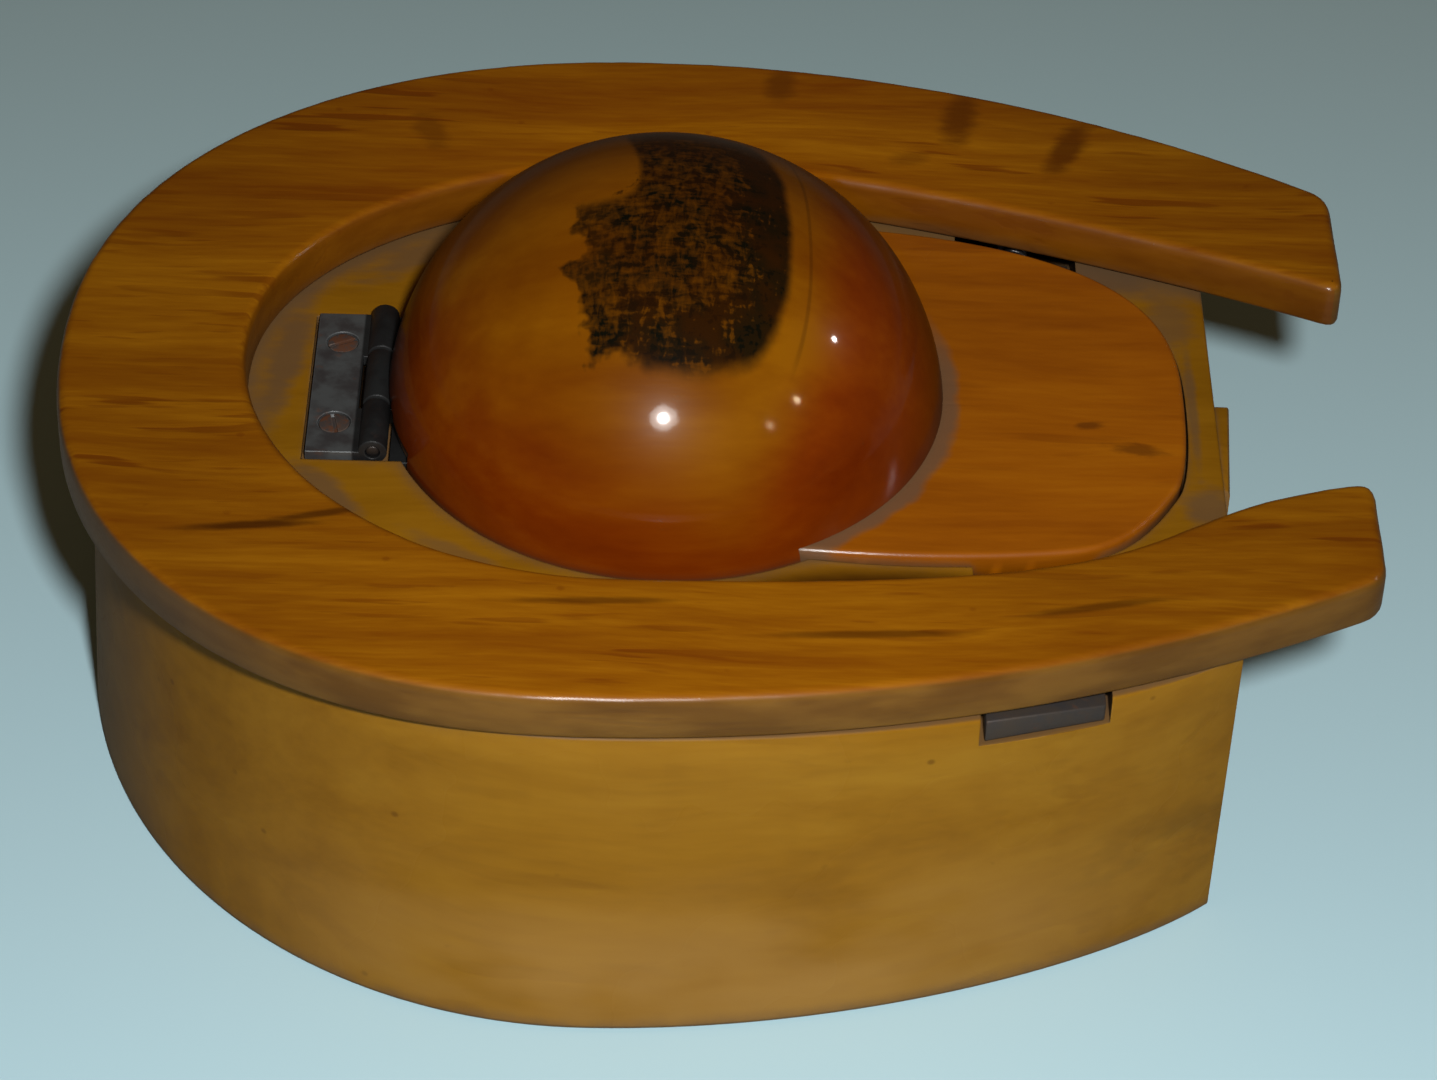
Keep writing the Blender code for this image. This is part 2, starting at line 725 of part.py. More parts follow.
bar_low, bar_high = LATCH_X - BAR_HALF, LATCH_X + BAR_HALF
bar = linked(
    "latch_bar",
    block((bar_low, BAR_STEP_Y, BAR_BOTTOM), (bar_high, BAR_FAR_Y, BAR_TOP)),
    origin=LATCH_AT,
    parent=latch_axis,
    finish=bar_steel,
)
tab_inner = BAR_STEP_Y + 1.6
tab = helper(
    linked(
        "add_tab",
        loft(
            [
                [
                    (bar_low, -wall_y(bar_low, tops[0]) + 0.1, tops[0]),
                    (bar_high, -wall_y(bar_high, tops[1]) + 0.1, tops[1]),
                    (bar_high, tab_inner, tops[1]),
                    (bar_low, tab_inner, tops[0]),
                ]
                for tops in ((BAR_TAB_BOTTOM, BAR_TAB_BOTTOM), BAR_TAB_TOP)
            ]
        ),
    )
)
combine(bar, tab, "UNION")
window = helper(linked("cut_window", block((LATCH_X - 1.9, -3.4, 20), (LATCH_X + 1.9, 1.75, 27))))
stop_slot = helper(linked("cut_stop_slot", block((LATCH_X - 1.1, -17.45, 20), (LATCH_X + 1.1, -13.05, 27))))
combine(bar, window, "DIFFERENCE")
combine(bar, stop_slot, "DIFFERENCE")

linked(
    "latch_stop_pin",
    lathe([(0, 20.2), (0.5, 20.2), (0.8, 20.6), (0.8, 24.2), (0.6, 24.45), (0, 24.45)], (LATCH_X, -14.0), 16),
    finish=pin_steel,
)

hook = linked(
    "latch_hook",
    block((LATCH_X - 2.8, -5.5, BOARD_BOTTOM), (LATCH_X + 2.8, 5.5, 25.6)),
    origin=HINGE_AT,
    parent=lid_axis,
    finish=bar_steel,
    smooth=30,
)
blade = helper(linked("add_blade", block((LATCH_X - 1.0, -0.5, 21.3), (LATCH_X + 1.0, 0.5, 25.3))))
barb = helper(linked("add_barb", block((LATCH_X - 1.0, -0.2, 21.3), (LATCH_X + 1.0, 1.5, 22.9))))
combine(hook, blade, "UNION")
combine(hook, barb, "UNION")
for index, y in enumerate((-3.6, 3.6), 1):
    screw(
        f"latch_hook_screw_{index}",
        LATCH_X,
        y,
        BOARD_BOTTOM + 0.05,
        1.75,
        0.45,
        0.8,
        up=True,
        parent=lid_axis,
        origin=HINGE_AT,
    )
    hole = screw_hole(f"hook_{index}", LATCH_X, y, BOARD_BOTTOM + 0.05, 1.7, 0.45, 0.8, up=True, gap=0.1)
    combine(hook, hole, "DIFFERENCE")
    combine(board, hole, "DIFFERENCE")


def coil(start, end, x, z, mean, wire, turns, per_turn=14, sides=6):
    """A coil of round wire along Y."""
    bm = bmesh.new()
    rings = []
    total = turns * per_turn
    for i in range(total + 1):
        a = 2 * math.pi * i / per_turn
        y = start + (end - start) * i / total
        centre = (x + mean * math.cos(a), y, z + mean * math.sin(a))
        out = (math.cos(a), 0.0, math.sin(a))
        rings.append(
            [
                bm.verts.new(
                    (
                        centre[0] + wire * math.cos(2 * math.pi * k / sides) * out[0],
                        centre[1] + wire * math.sin(2 * math.pi * k / sides),
                        centre[2] + wire * math.cos(2 * math.pi * k / sides) * out[2],
                    )
                )
                for k in range(sides)
            ]
        )
    for a, b in zip(rings, rings[1:]):
        for k in range(sides):
            m = (k + 1) % sides
            bm.faces.new((a[k], a[m], b[m], b[k]))
    bm.faces.new(rings[0])
    bm.faces.new(rings[-1])
    return bm


linked(
    "latch_spring",
    coil(BAR_FAR_Y + 0.45, CHANNEL_FAR_Y - 0.45, LATCH_X, BAR_BOTTOM + 1.1, 0.95, 0.2, 10),
    origin=(LATCH_X, CHANNEL_FAR_Y, BAR_BOTTOM),
    finish=spring_steel,
)
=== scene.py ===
"""Looks of the horseshoe inkwell with a jockey cap lid.

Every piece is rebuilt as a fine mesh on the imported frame, with procedural varnish, wood, metal, glass
and leather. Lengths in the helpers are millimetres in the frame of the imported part.
"""

import json
import math

import bmesh
import bpy
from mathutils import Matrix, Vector, noise
from mathutils.geometry import delaunay_2d_cdt


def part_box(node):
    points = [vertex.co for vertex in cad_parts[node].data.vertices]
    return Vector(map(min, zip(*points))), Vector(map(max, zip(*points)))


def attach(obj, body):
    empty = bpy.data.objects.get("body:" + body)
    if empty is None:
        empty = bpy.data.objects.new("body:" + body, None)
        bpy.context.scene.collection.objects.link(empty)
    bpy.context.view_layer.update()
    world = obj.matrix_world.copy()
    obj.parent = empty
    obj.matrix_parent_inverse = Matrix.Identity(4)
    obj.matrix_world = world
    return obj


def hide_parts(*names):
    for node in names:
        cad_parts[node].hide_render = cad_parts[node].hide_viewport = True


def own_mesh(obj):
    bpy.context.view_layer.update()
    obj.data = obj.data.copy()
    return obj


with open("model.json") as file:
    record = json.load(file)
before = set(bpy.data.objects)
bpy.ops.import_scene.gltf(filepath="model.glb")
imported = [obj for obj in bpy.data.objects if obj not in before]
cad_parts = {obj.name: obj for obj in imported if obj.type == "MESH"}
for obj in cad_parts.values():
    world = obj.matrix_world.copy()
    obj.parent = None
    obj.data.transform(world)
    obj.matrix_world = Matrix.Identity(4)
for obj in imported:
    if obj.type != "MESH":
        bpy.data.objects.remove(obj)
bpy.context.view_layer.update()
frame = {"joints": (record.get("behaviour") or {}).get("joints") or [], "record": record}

MM = 0.001
scene = bpy.context.scene


# ------------------------------------------------------------------ sizes read from the frame
def low(node, axis):
    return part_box(node)[0][axis] / MM


def high(node, axis):
    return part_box(node)[1][axis] / MM


def mid(node, axis):
    return 0.5 * (low(node, axis) + high(node, axis))


joints = {j["name"]: j for j in frame["joints"]}
record_joints = {j["name"]: j for j in frame["record"]["behaviour"]["joints"]}

BODY_TOP = high("body", 2)
RIM_BOTTOM, RIM_TOP = low("horseshoe_plate", 2), high("horseshoe_plate", 2)
BOARD_BOTTOM, BOARD_TOP = low("cap_board", 2), high("cap_board", 2)
RECESS_FLOOR = BOARD_BOTTOM - 0.3
DOME_TOP = high("cap_dome", 2)
HEEL_X = high("horseshoe_plate", 0)
TOE_X = low("horseshoe_plate", 0)
CAP_X = mid("ink_insert", 0)
DOME_RADIUS = 20.65
DOME_Z = DOME_TOP - DOME_RADIUS
HOLLOW_RADIUS = 16.5
HINGE_X, _, HINGE_Z = [c / MM for c in record_joints["lid_hinge"]["pos_m"]]
HINGE_HALF = high("hinge_base_leaf", 1)
LATCH_X = mid("latch_bar", 0)
BAR_BOTTOM = low("latch_bar", 2)
BODY_HALF_WIDTH_BOTTOM = high("body", 1)

OPENING_TOE_X = -34.0
BODY_TOE_X_TOP, BODY_TOE_X_BOTTOM = -45.4, low("body", 0)
BODY_HALF_WIDTH_TOP = 37.2
BODY_END_X = 37.6
BODY_END_HALF_TOP, BODY_END_HALF_BOTTOM = 26.9, 25.9
BOARD_RADIUS, HINGE_BOARD_RADIUS, HINGE_GAP_HALF, SKIRT_BOTTOM = 19.3, 20.3, 8.7, low("cap_dome", 2)
PEAK_REACH, PEAK_POWER_FAR, PEAK_HALF_FAR = high("cap_board", 0) - CAP_X, 2.8, 20.6
PEAK_START_NEAR, RECESS_CLEARANCE = (7.2, -17.8), 0.45
WELL_RADIUS, WELL_FLOOR = 17.4, 4.0
PIN_RADIUS, KNUCKLE_RADIUS, KNUCKLE_SPLIT = 0.5, 1.05, 2.9
LEAF_EDGE_X = low("hinge_base_leaf", 0)
CHANNEL_HALF, CHANNEL_FLOOR, CHANNEL_FAR_Y = 4.6, BAR_BOTTOM - 0.3, 30.5
BAR_HALF, BAR_TOP, BAR_FAR_Y = 4.2, 24.5, high("latch_bar", 1)
BAR_STEP_Y, BAR_TAB_BOTTOM, BAR_TAB_TOP = -28.6, 23.95, (high("latch_bar", 2), high("latch_bar", 2) - 0.4)


# ------------------------------------------------------------------ mesh helpers
def new_object(name, bm, smooth=35.0):
    """An object at the origin whose mesh is given in frame millimetres."""
    bmesh.ops.remove_doubles(bm, verts=bm.verts, dist=1e-5)
    bmesh.ops.recalc_face_normals(bm, faces=bm.faces)
    for vert in bm.verts:
        vert.co = vert.co * MM
    mesh = bpy.data.meshes.new(name)
    bm.to_mesh(mesh)
    bm.free()
    mesh.shade_smooth()
    mesh.set_sharp_from_angle(angle=math.radians(smooth))
    obj = bpy.data.objects.new(name, mesh)
    scene.collection.objects.link(obj)
    return obj


def apply_modifiers(obj):
    """Puts the result of the modifiers in the mesh."""
    graph = bpy.context.evaluated_depsgraph_get()
    made = bpy.data.meshes.new_from_object(obj.evaluated_get(graph))
    old = obj.data
    obj.modifiers.clear()
    obj.data = made
    bpy.data.meshes.remove(old)


def tidy(obj, reach=5e-7):
    """Drops the sliver faces and closes the pinholes that a cut can leave. reach is in metres."""
    bm = bmesh.new()
    bm.from_mesh(obj.data)
    bmesh.ops.triangulate(bm, faces=[f for f in bm.faces if len(f.verts) > 4])
    bmesh.ops.remove_doubles(bm, verts=bm.verts, dist=reach)
    bmesh.ops.dissolve_degenerate(bm, edges=bm.edges, dist=reach)
    open_edges = [e for e in bm.edges if e.is_boundary]
    if open_edges:
        bmesh.ops.holes_fill(bm, edges=open_edges, sides=12)
    bm.to_mesh(obj.data)
    bm.free()


def boolean(obj, pairs, smooth=35.0):
    """Cuts or joins with helper bmeshes, then drops the helpers."""
    helpers = []
    for index, (bm, operation) in enumerate(pairs):
        other = new_object(f"{obj.name}_helper_{index}", bm)
        mod = obj.modifiers.new(f"b{index}", "BOOLEAN")
        mod.operation = operation
        mod.solver = "EXACT"
        mod.object = other
        helpers.append(other)
    apply_modifiers(obj)
    for other in helpers:
        mesh = other.data
        bpy.data.objects.remove(other, do_unlink=True)
        bpy.data.meshes.remove(mesh)
    tidy(obj)
    obj.data.shade_smooth()
    obj.data.set_sharp_from_angle(angle=math.radians(smooth))
    return obj


def soften(obj, width, segments=2, angle=40.0):
    """Rounds sharp edges a little."""
    weld = obj.modifiers.new("weld", "WELD")
    weld.merge_threshold = 0.000002
    mod = obj.modifiers.new("round", "BEVEL")
    mod.width = width * MM
    mod.segments = segments
    mod.limit_method = "ANGLE"
    mod.angle_limit = math.radians(angle)
    mod.use_clamp_overlap = True
    mod.harden_normals = False
    apply_modifiers(obj)
    obj.data.shade_smooth()
    obj.data.set_sharp_from_angle(angle=math.radians(50))
    return obj


def loft(rings, caps=True):
    bm = bmesh.new()
    loops = [[bm.verts.new(p) for p in ring] for ring in rings]
    count = len(loops[0])
    for a, b in zip(loops, loops[1:]):
        for i in range(count):
            j = (i + 1) % count
            bm.faces.new((a[i], a[j], b[j], b[i]))
    if caps:
        bm.faces.new(list(reversed(loops[0])))
        bm.faces.new(loops[-1])
    return bm


def prism(outline, z0, z1):
    return loft([[(x, y, z) for x, y in outline] for z in (z0, z1)])


def block(a, b):
    return prism([(a[0], a[1]), (b[0], a[1]), (b[0], b[1]), (a[0], b[1])], a[2], b[2])


def lathe(profile, at, segments, closed=False):
    bm = bmesh.new()
    rings = []
    for radius, z in profile:
        if radius == 0:
            rings.append([bm.verts.new((at[0], at[1], z))])
            continue
        rings.append(
            [
                bm.verts.new(
                    (
                        at[0] + radius * math.cos(2 * math.pi * i / segments),
                        at[1] + radius * math.sin(2 * math.pi * i / segments),
                        z,
                    )
                )
                for i in range(segments)
            ]
        )
    pairs = list(zip(rings, rings[1:]))
    if closed:
        pairs.append((rings[-1], rings[0]))
    for a, b in pairs:
        for i in range(segments):
            j = (i + 1) % segments
            if len(a) == 1:
                bm.faces.new((a[0], b[i], b[j]))
            elif len(b) == 1:
                bm.faces.new((a[i], a[j], b[0]))
            else:
                bm.faces.new((a[i], a[j], b[j], b[i]))
    return bm


def rounded(points, radius, steps=4, closed=False):
    """Rounds the corners of an open (radius, z) profile with short arcs."""
    out = []
    count = len(points)
    for i, p in enumerate(points):
        if not closed and i in (0, count - 1):
            out.append(p)
            continue
        a, b = points[i - 1], points[(i + 1) % count]
        va, vb = Vector((a[0] - p[0], a[1] - p[1])), Vector((b[0] - p[0], b[1] - p[1]))
        if va.length < 1e-6 or vb.length < 1e-6 or abs(va.normalized().dot(vb.normalized()) + 1) < 0.01:
            out.append(p)
            continue
        cut = min(radius, 0.45 * va.length, 0.45 * vb.length)
        s = Vector(p) + va.normalized() * cut
        e = Vector(p) + vb.normalized() * cut
        for k in range(steps + 1):
            t = k / steps
            q = s * (1 - t) ** 2 + Vector(p) * 2 * t * (1 - t) + e * t * t
            out.append((q.x, q.y))
    return out


def rod_y(x, z, radius, y0, y1, segments, edge=0.0):
    bm = bmesh.new()
    rings = []
    spans = [(radius, y0), (radius, y1)]
    if edge:
        spans = [
            (radius - edge, y0),
            (radius - 0.3 * edge, y0 + 0.3 * edge),
            (radius, y0 + edge),
            (radius, y1 - edge),
            (radius - 0.3 * edge, y1 - 0.3 * edge),
            (radius - edge, y1),
        ]
    for r, y in spans:
        rings.append(
            [
                bm.verts.new(
                    (x + r * math.cos(2 * math.pi * i / segments), y, z + r * math.sin(2 * math.pi * i / segments))
                )
                for i in range(segments)
            ]
        )
    for a, b in zip(rings, rings[1:]):
        for i in range(segments):
            j = (i + 1) % segments
            bm.faces.new((a[i], a[j], b[j], b[i]))
    bm.faces.new(rings[0])
    bm.faces.new(rings[-1])
    return bm


def side(toe_x, centre, half, power, end_x, end_half, pull, push_x, push_y, arch=20, run=16):
    """One side of a horseshoe curve: a superellipse quarter for the toe, a Bezier run to the end."""
    points = []
    reach = centre - toe_x
    for i in range(arch + 1):
        t = math.pi - 0.5 * math.pi * i / arch
        c, s = abs(math.cos(t)), abs(math.sin(t))
        points.append((centre - reach * c ** (2 / power), half * s ** (2 / power)))
    p = [(centre, half), (centre + pull, half), (end_x - push_x, end_half + push_y), (end_x, end_half)]
    for i in range(1, run + 1):
        t = i / run
        w = ((1 - t) ** 3, 3 * (1 - t) ** 2 * t, 3 * (1 - t) * t * t, t**3)
        points.append(tuple(sum(w[k] * p[k][c] for k in range(4)) for c in (0, 1)))
    return points


def even(line, step):
    """The same open line with evenly spaced points."""
    lengths = [0.0]
    for a, b in zip(line, line[1:]):
        lengths.append(lengths[-1] + math.dist(a, b))
    count = max(2, round(lengths[-1] / step))
    out, k = [], 0
    for i in range(count + 1):
        want = lengths[-1] * i / count
        while k < len(line) - 2 and lengths[k + 1] < want:
            k += 1
        span = lengths[k + 1] - lengths[k]
        t = (want - lengths[k]) / span if span else 0
        out.append((line[k][0] + (line[k + 1][0] - line[k][0]) * t, line[k][1] + (line[k + 1][1] - line[k][1]) * t))
    return out


def both_sides(far, near):
    return [(x, -y) for x, y in near] + list(reversed(far[1:]))


def offset(outline, distance):
    moved = []
    count = len(outline)
    for i in range(count):
        a, b, c = outline[i - 1], outline[i], outline[(i + 1) % count]
        n = []
        for p, q in ((a, b), (b, c)):
            dx, dy = q[0] - p[0], q[1] - p[1]
            length = math.hypot(dx, dy) or 1.0
            n.append((dy / length, -dx / length))
        scale = max(0.3, 1 + n[0][0] * n[1][0] + n[0][1] * n[1][1])
        moved.append(
            (b[0] + distance * (n[0][0] + n[1][0]) / scale, b[1] + distance * (n[0][1] + n[1][1]) / scale)
        )
    return moved


# ------------------------------------------------------------------ shader helpers
class Shade:
    """Short names for the nodes of one material."""

    def __init__(self, name):
        self.material = bpy.data.materials.new(name)
        self.material.use_nodes = True
        self.tree = self.material.node_tree
        self.bsdf = self.tree.nodes["Principled BSDF"]
        coords = self.tree.nodes.new("ShaderNodeTexCoord")
        self.object = coords.outputs["Object"]
        self.normal = coords.outputs["Normal"]

    def put(self, socket, value):
        if hasattr(value, "links"):
            self.tree.links.new(value, socket)
        elif isinstance(value, (tuple, list)) and len(value) == 3 and socket.type == "RGBA":
            socket.default_value = (*value, 1.0)
        else:
            socket.default_value = value

    def math(self, op, a, b=0.0, c=0.0, clamp=False):
        node = self.tree.nodes.new("ShaderNodeMath")
        node.operation = op
        node.use_clamp = clamp
        for i, v in enumerate((a, b, c)):
            self.put(node.inputs[i], v)
        return node.outputs[0]

    def vec(self, op, a, b=(0, 0, 0)):
        node = self.tree.nodes.new("ShaderNodeVectorMath")
        node.operation = op
        self.put(node.inputs[0], a)
        if op == "SCALE":
            self.put(node.inputs[3], b)
        else:
            self.put(node.inputs[1], b)
        return node.outputs["Value"] if op in ("DOT_PRODUCT", "LENGTH", "DISTANCE") else node.outputs["Vector"]

    def mm(self, stretch=(1, 1, 1), shift=(0, 0, 0)):
        """Object position in millimetres, moved and then stretched."""
        moved = self.vec("ADD", self.object, tuple(c * MM for c in shift))
        return self.vec("MULTIPLY", moved, tuple(1000.0 * s for s in stretch))

    def split(self, vector):
        node = self.tree.nodes.new("ShaderNodeSeparateXYZ")
        self.put(node.inputs[0], vector)
        return node.outputs

    def join(self, x, y, z):
        node = self.tree.nodes.new("ShaderNodeCombineXYZ")
        for i, v in enumerate((x, y, z)):
            self.put(node.inputs[i], v)
        return node.outputs[0]

    def noise(self, vector, scale=1.0, detail=3.0, rough=0.5, distort=0.0, colour=False):
        node = self.tree.nodes.new("ShaderNodeTexNoise")
        self.put(node.inputs["Vector"], vector)
        self.put(node.inputs["Scale"], scale)
        self.put(node.inputs["Detail"], detail)
        self.put(node.inputs["Roughness"], rough)
        self.put(node.inputs["Distortion"], distort)
        return node.outputs["Color"] if colour else node.outputs["Fac"]

    def voronoi(self, vector, scale=1.0, feature="F1", rand=1.0):
        node = self.tree.nodes.new("ShaderNodeTexVoronoi")
        node.feature = feature
        self.put(node.inputs["Vector"], vector)
        self.put(node.inputs["Scale"], scale)
        self.put(node.inputs["Randomness"], rand)
        return node.outputs["Distance"]

    def step(self, value, a, b, out0=0.0, out1=1.0, smooth=True):
        """Maps value from a..b to out0..out1, held at the ends."""
        node = self.tree.nodes.new("ShaderNodeMapRange")
        node.interpolation_type = "SMOOTHSTEP" if smooth else "LINEAR"
        node.clamp = True
        for i, v in enumerate((value, a, b, out0, out1)):
            self.put(node.inputs[i], v)
        return node.outputs[0]

    def mix(self, share, a, b, blend="MIX"):
        node = self.tree.nodes.new("ShaderNodeMix")
        node.data_type = "RGBA"
        node.blend_type = blend
        self.put(node.inputs[0], share)
        self.put(node.inputs[6], a)
        self.put(node.inputs[7], b)
        return node.outputs[2]

    def ramp(self, value, stops):
        node = self.tree.nodes.new("ShaderNodeValToRGB")
        self.put(node.inputs[0], value)
        elements = node.color_ramp.elements
        while len(elements) < len(stops):
            elements.new(0.5)
        for element, (place, colour) in zip(elements, stops):
            element.position = place
            element.color = (*colour, 1.0)
        return node.outputs[0]

    def corner(self, reach, samples=6, inside=False):
        """1 in a corner within reach millimetres, 0 in the open."""
        node = self.tree.nodes.new("ShaderNodeAmbientOcclusion")
        node.samples = samples
        node.inside = inside
        node.only_local = False
        node.inputs["Distance"].default_value = reach * MM
        return self.math("SUBTRACT", 1.0, node.outputs["AO"])

    def edge(self, radius, samples=4):
        """(edge mask, rounded normal) for sharp edges."""
        node = self.tree.nodes.new("ShaderNodeBevel")
        node.samples = samples
        node.inputs["Radius"].default_value = radius * MM
        geo = self.tree.nodes.new("ShaderNodeNewGeometry")
        dot = self.vec("DOT_PRODUCT", node.outputs[0], geo.outputs["Normal"])
        return self.step(dot, 0.99, 0.85), node.outputs[0]

    def bump(self, height, distance, strength=1.0, normal=None):
        node = self.tree.nodes.new("ShaderNodeBump")
        self.put(node.inputs["Height"], height)
        node.inputs["Distance"].default_value = distance * MM
        node.inputs["Strength"].default_value = strength
        if normal is not None:
            self.put(node.inputs["Normal"], normal)
        return node.outputs[0]

    def set(self, **values):
        names = {
            "colour": "Base Color",
            "rough": "Roughness",
            "metal": "Metallic",
            "normal": "Normal",
            "coat": "Coat Weight",
            "coat_rough": "Coat Roughness",
            "coat_normal": "Coat Normal",
            "coat_tint": "Coat Tint",
            "ior": "IOR",
            "specular": "Specular IOR Level",
            "glass": "Transmission Weight",
            "sheen": "Sheen Weight",
            "subsurface": "Subsurface Weight",
        }
        for key, value in values.items():
            self.put(self.bsdf.inputs[names[key]], value)
        return self.material


# grey-brown for dust and painted shade in corners
DUST_AND_SHADE = (0.115, 0.066, 0.032)


def varnished_wood(
    name,
    dark,
    middle,
    light,
    streak,
    streak_amount=0.5,
    fibre=(0.06, 1.0, 1.0),
    figure=0.0,
    coat=0.9,
    gloss=0.16,
    dust_and_shade_reach=2.2,
    dust_and_shade_amount=0.75,
    extra=None,
    fleck=0.0,
    worn=(0.42, 0.24, 0.07),
    worn_amount=0.35,
    pores=1.0,
    specular=0.18,
    shaded_ends=0.0,
):
    """Wood with its grain along X under an amber varnish.

    fibre is how much the grain is stretched along each axis. extra(shade, colour) may add local marks.
    """
    s = Shade(name)
    warp = s.noise(s.mm((0.02, 0.05, 0.05)), 1.0, 2.0)
    wavy = s.vec("ADD", s.mm(fibre), s.join(0.0, s.math("MULTIPLY", warp, 4.0), s.math("MULTIPLY", warp, 3.0)))
    broad = s.noise(wavy, 0.16, 3.0, 0.5)
    middle_grain = s.noise(wavy, 0.75, 4.0, 0.62)
    fine = s.noise(wavy, 3.4, 3.0, 0.6)
    tone = s.math("ADD", s.math("MULTIPLY", broad, 0.45), s.math("MULTIPLY", middle_grain, 0.4))
    tone = s.math("ADD", tone, s.math("MULTIPLY", fine, 0.15))
    colour = s.ramp(tone, [(0.36, dark), (0.5, middle), (0.64, light)])
    # dark streaks that run for a few millimetres along the grain
    gate = s.step(s.noise(s.mm((0.035, 0.09, 0.09), (17, 5, 3)), 1.0, 2.0), 0.44, 0.62)
    lines = s.noise(s.vec("ADD", wavy, (3.1, 9.0, 4.0)), 1.25, 2.0, 0.5)
    long_streaks = s.math("MULTIPLY", s.step(lines, 0.585, 0.66), s.math("ADD", 0.25, s.math("MULTIPLY", gate, 0.75)))
    dashes = s.noise(s.mm((fibre[0] * 2.4, fibre[1] * 2.0, fibre[2] * 2.0), (5, 2, 7)), 1.0, 2.0, 0.5)
    dashes = s.math("MULTIPLY", s.step(dashes, 0.60, 0.72), s.step(broad, 0.40, 0.56))
    marks = s.math("MAXIMUM", long_streaks, s.math("MULTIPLY", dashes, 0.55))
    colour = s.mix(s.math("MULTIPLY", marks, streak_amount), colour, streak)
    if figure:
        ripple = s.noise(s.mm((0.28, 0.06, 0.06), (4, 0, 0)), 1.0, 2.0, 0.5, 0.6)
        colour = s.mix(s.math("MULTIPLY", s.step(ripple, 0.45, 0.7), figure), colour, dark)
    if fleck:
        dots = s.step(s.voronoi(s.mm((0.30, 0.36, 0.36), (2, 8, 1)), 1.0), 0.13, 0.05)
        keep = s.step(s.noise(s.mm((0.2, 0.2, 0.2), (9, 9, 9)), 1.0, 0.0), 0.55, 0.62)
        colour = s.mix(s.math("MULTIPLY", s.math("MULTIPLY", dots, keep), fleck), colour, streak)
    if extra:
        colour = extra(s, colour)
    if shaded_ends:
        # painted shade: the colour darkens towards the toe and the heels, where less light reaches
        far_out = s.step(s.math("ABSOLUTE", s.split(s.mm())[0]), 8.0, 42.0)
        colour = s.mix(s.math("MULTIPLY", far_out, shaded_ends), colour, (0.0, 0.0, 0.0))
    # worn varnish along the edges, then dust and wax with painted shade in the corners
    edge, soft_normal = s.edge(0.22)
    patchy = s.noise(s.mm((0.35, 0.35, 0.35)), 1.0, 4.0, 0.6)
    wear = s.math("MULTIPLY", edge, s.step(patchy, 0.42, 0.6))
    colour = s.mix(s.math("MULTIPLY", wear, worn_amount), colour, worn)
    dust_and_shade = 0.0
    if dust_and_shade_amount:
        # painted shade: the occlusion mask turns the colour grey-brown in the corners
        near = s.corner(dust_and_shade_reach)
        ragged = s.math("ADD", near, s.math("MULTIPLY", s.math("SUBTRACT", patchy, 0.5), 0.35))
        dust_and_shade = s.math("MULTIPLY", s.step(ragged, 0.20, 0.42), dust_and_shade_amount, clamp=True)
        colour = s.mix(dust_and_shade, colour, DUST_AND_SHADE)
    # finish: thin hard varnish with brush marks, dust nibs and rubbed patches
    rub = s.noise(s.mm((0.05, 0.05, 0.05), (3, 3, 3)), 1.0, 3.0)
    haze = s.step(rub, 0.35, 0.65, gloss * 0.8, gloss * 1.5)
    if dust_and_shade_amount:
        haze = s.math("ADD", haze, s.math("MULTIPLY", dust_and_shade, 0.35))
    nibs = s.step(s.voronoi(s.mm((1.1, 1.1, 1.1)), 1.0), 0.16, 0.02)
    nib_keep = s.step(s.noise(s.mm((0.6, 0.6, 0.6)), 1.0, 0.0), 0.56, 0.66)
    skin = s.math("MULTIPLY", s.noise(s.mm((0.12, 0.3, 0.3)), 1.0, 3.0), 0.9)
    skin = s.math("ADD", skin, s.math("MULTIPLY", s.math("MULTIPLY", nibs, nib_keep), 0.25))
    skin = s.math("ADD", skin, s.math("MULTIPLY", fine, 0.06 * pores))
    under = s.math("ADD", s.math("MULTIPLY", fine, 0.6), s.math("MULTIPLY", marks, -0.6))
    return s.set(
        colour=colour,
        rough=s.math("ADD", 0.42, s.math("MULTIPLY", fine, 0.2)),
        normal=s.bump(under, 0.05 * pores, 0.5, soft_normal),
        coat=s.math("SUBTRACT", coat, s.math("MULTIPLY", wear, 0.4)) if coat else 0.0,
        coat_rough=haze,
        coat_normal=s.bump(skin, 0.09, 0.6, soft_normal),
        specular=specular,
    ), s


def spot(s, x, y, rx, ry, angle=0.0, ragged=0.5, power=1.0):
    """A soft patch on the top faces about (x, y), with radii along its own axes and a ragged edge."""
    c, d = math.cos(math.radians(angle)), math.sin(math.radians(angle))
    px, py, _ = s.split(s.mm((1, 1, 1), (-x, -y, 0)))
    u = s.math("ADD", s.math("MULTIPLY", px, c / rx), s.math("MULTIPLY", py, d / rx))
    v = s.math("ADD", s.math("MULTIPLY", px, -d / ry), s.math("MULTIPLY", py, c / ry))
    r = s.math("SQRT", s.math("ADD", s.math("MULTIPLY", u, u), s.math("MULTIPLY", v, v)))
    torn = s.noise(s.mm((0.35, 0.9, 0.9), (x, y, 0)), 1.0, 3.0, 0.6)
    r = s.math("ADD", r, s.math("MULTIPLY", s.math("SUBTRACT", torn, 0.5), 2 * ragged))
    return s.math("MULTIPLY", s.step(r, 1.15, 0.35), power)


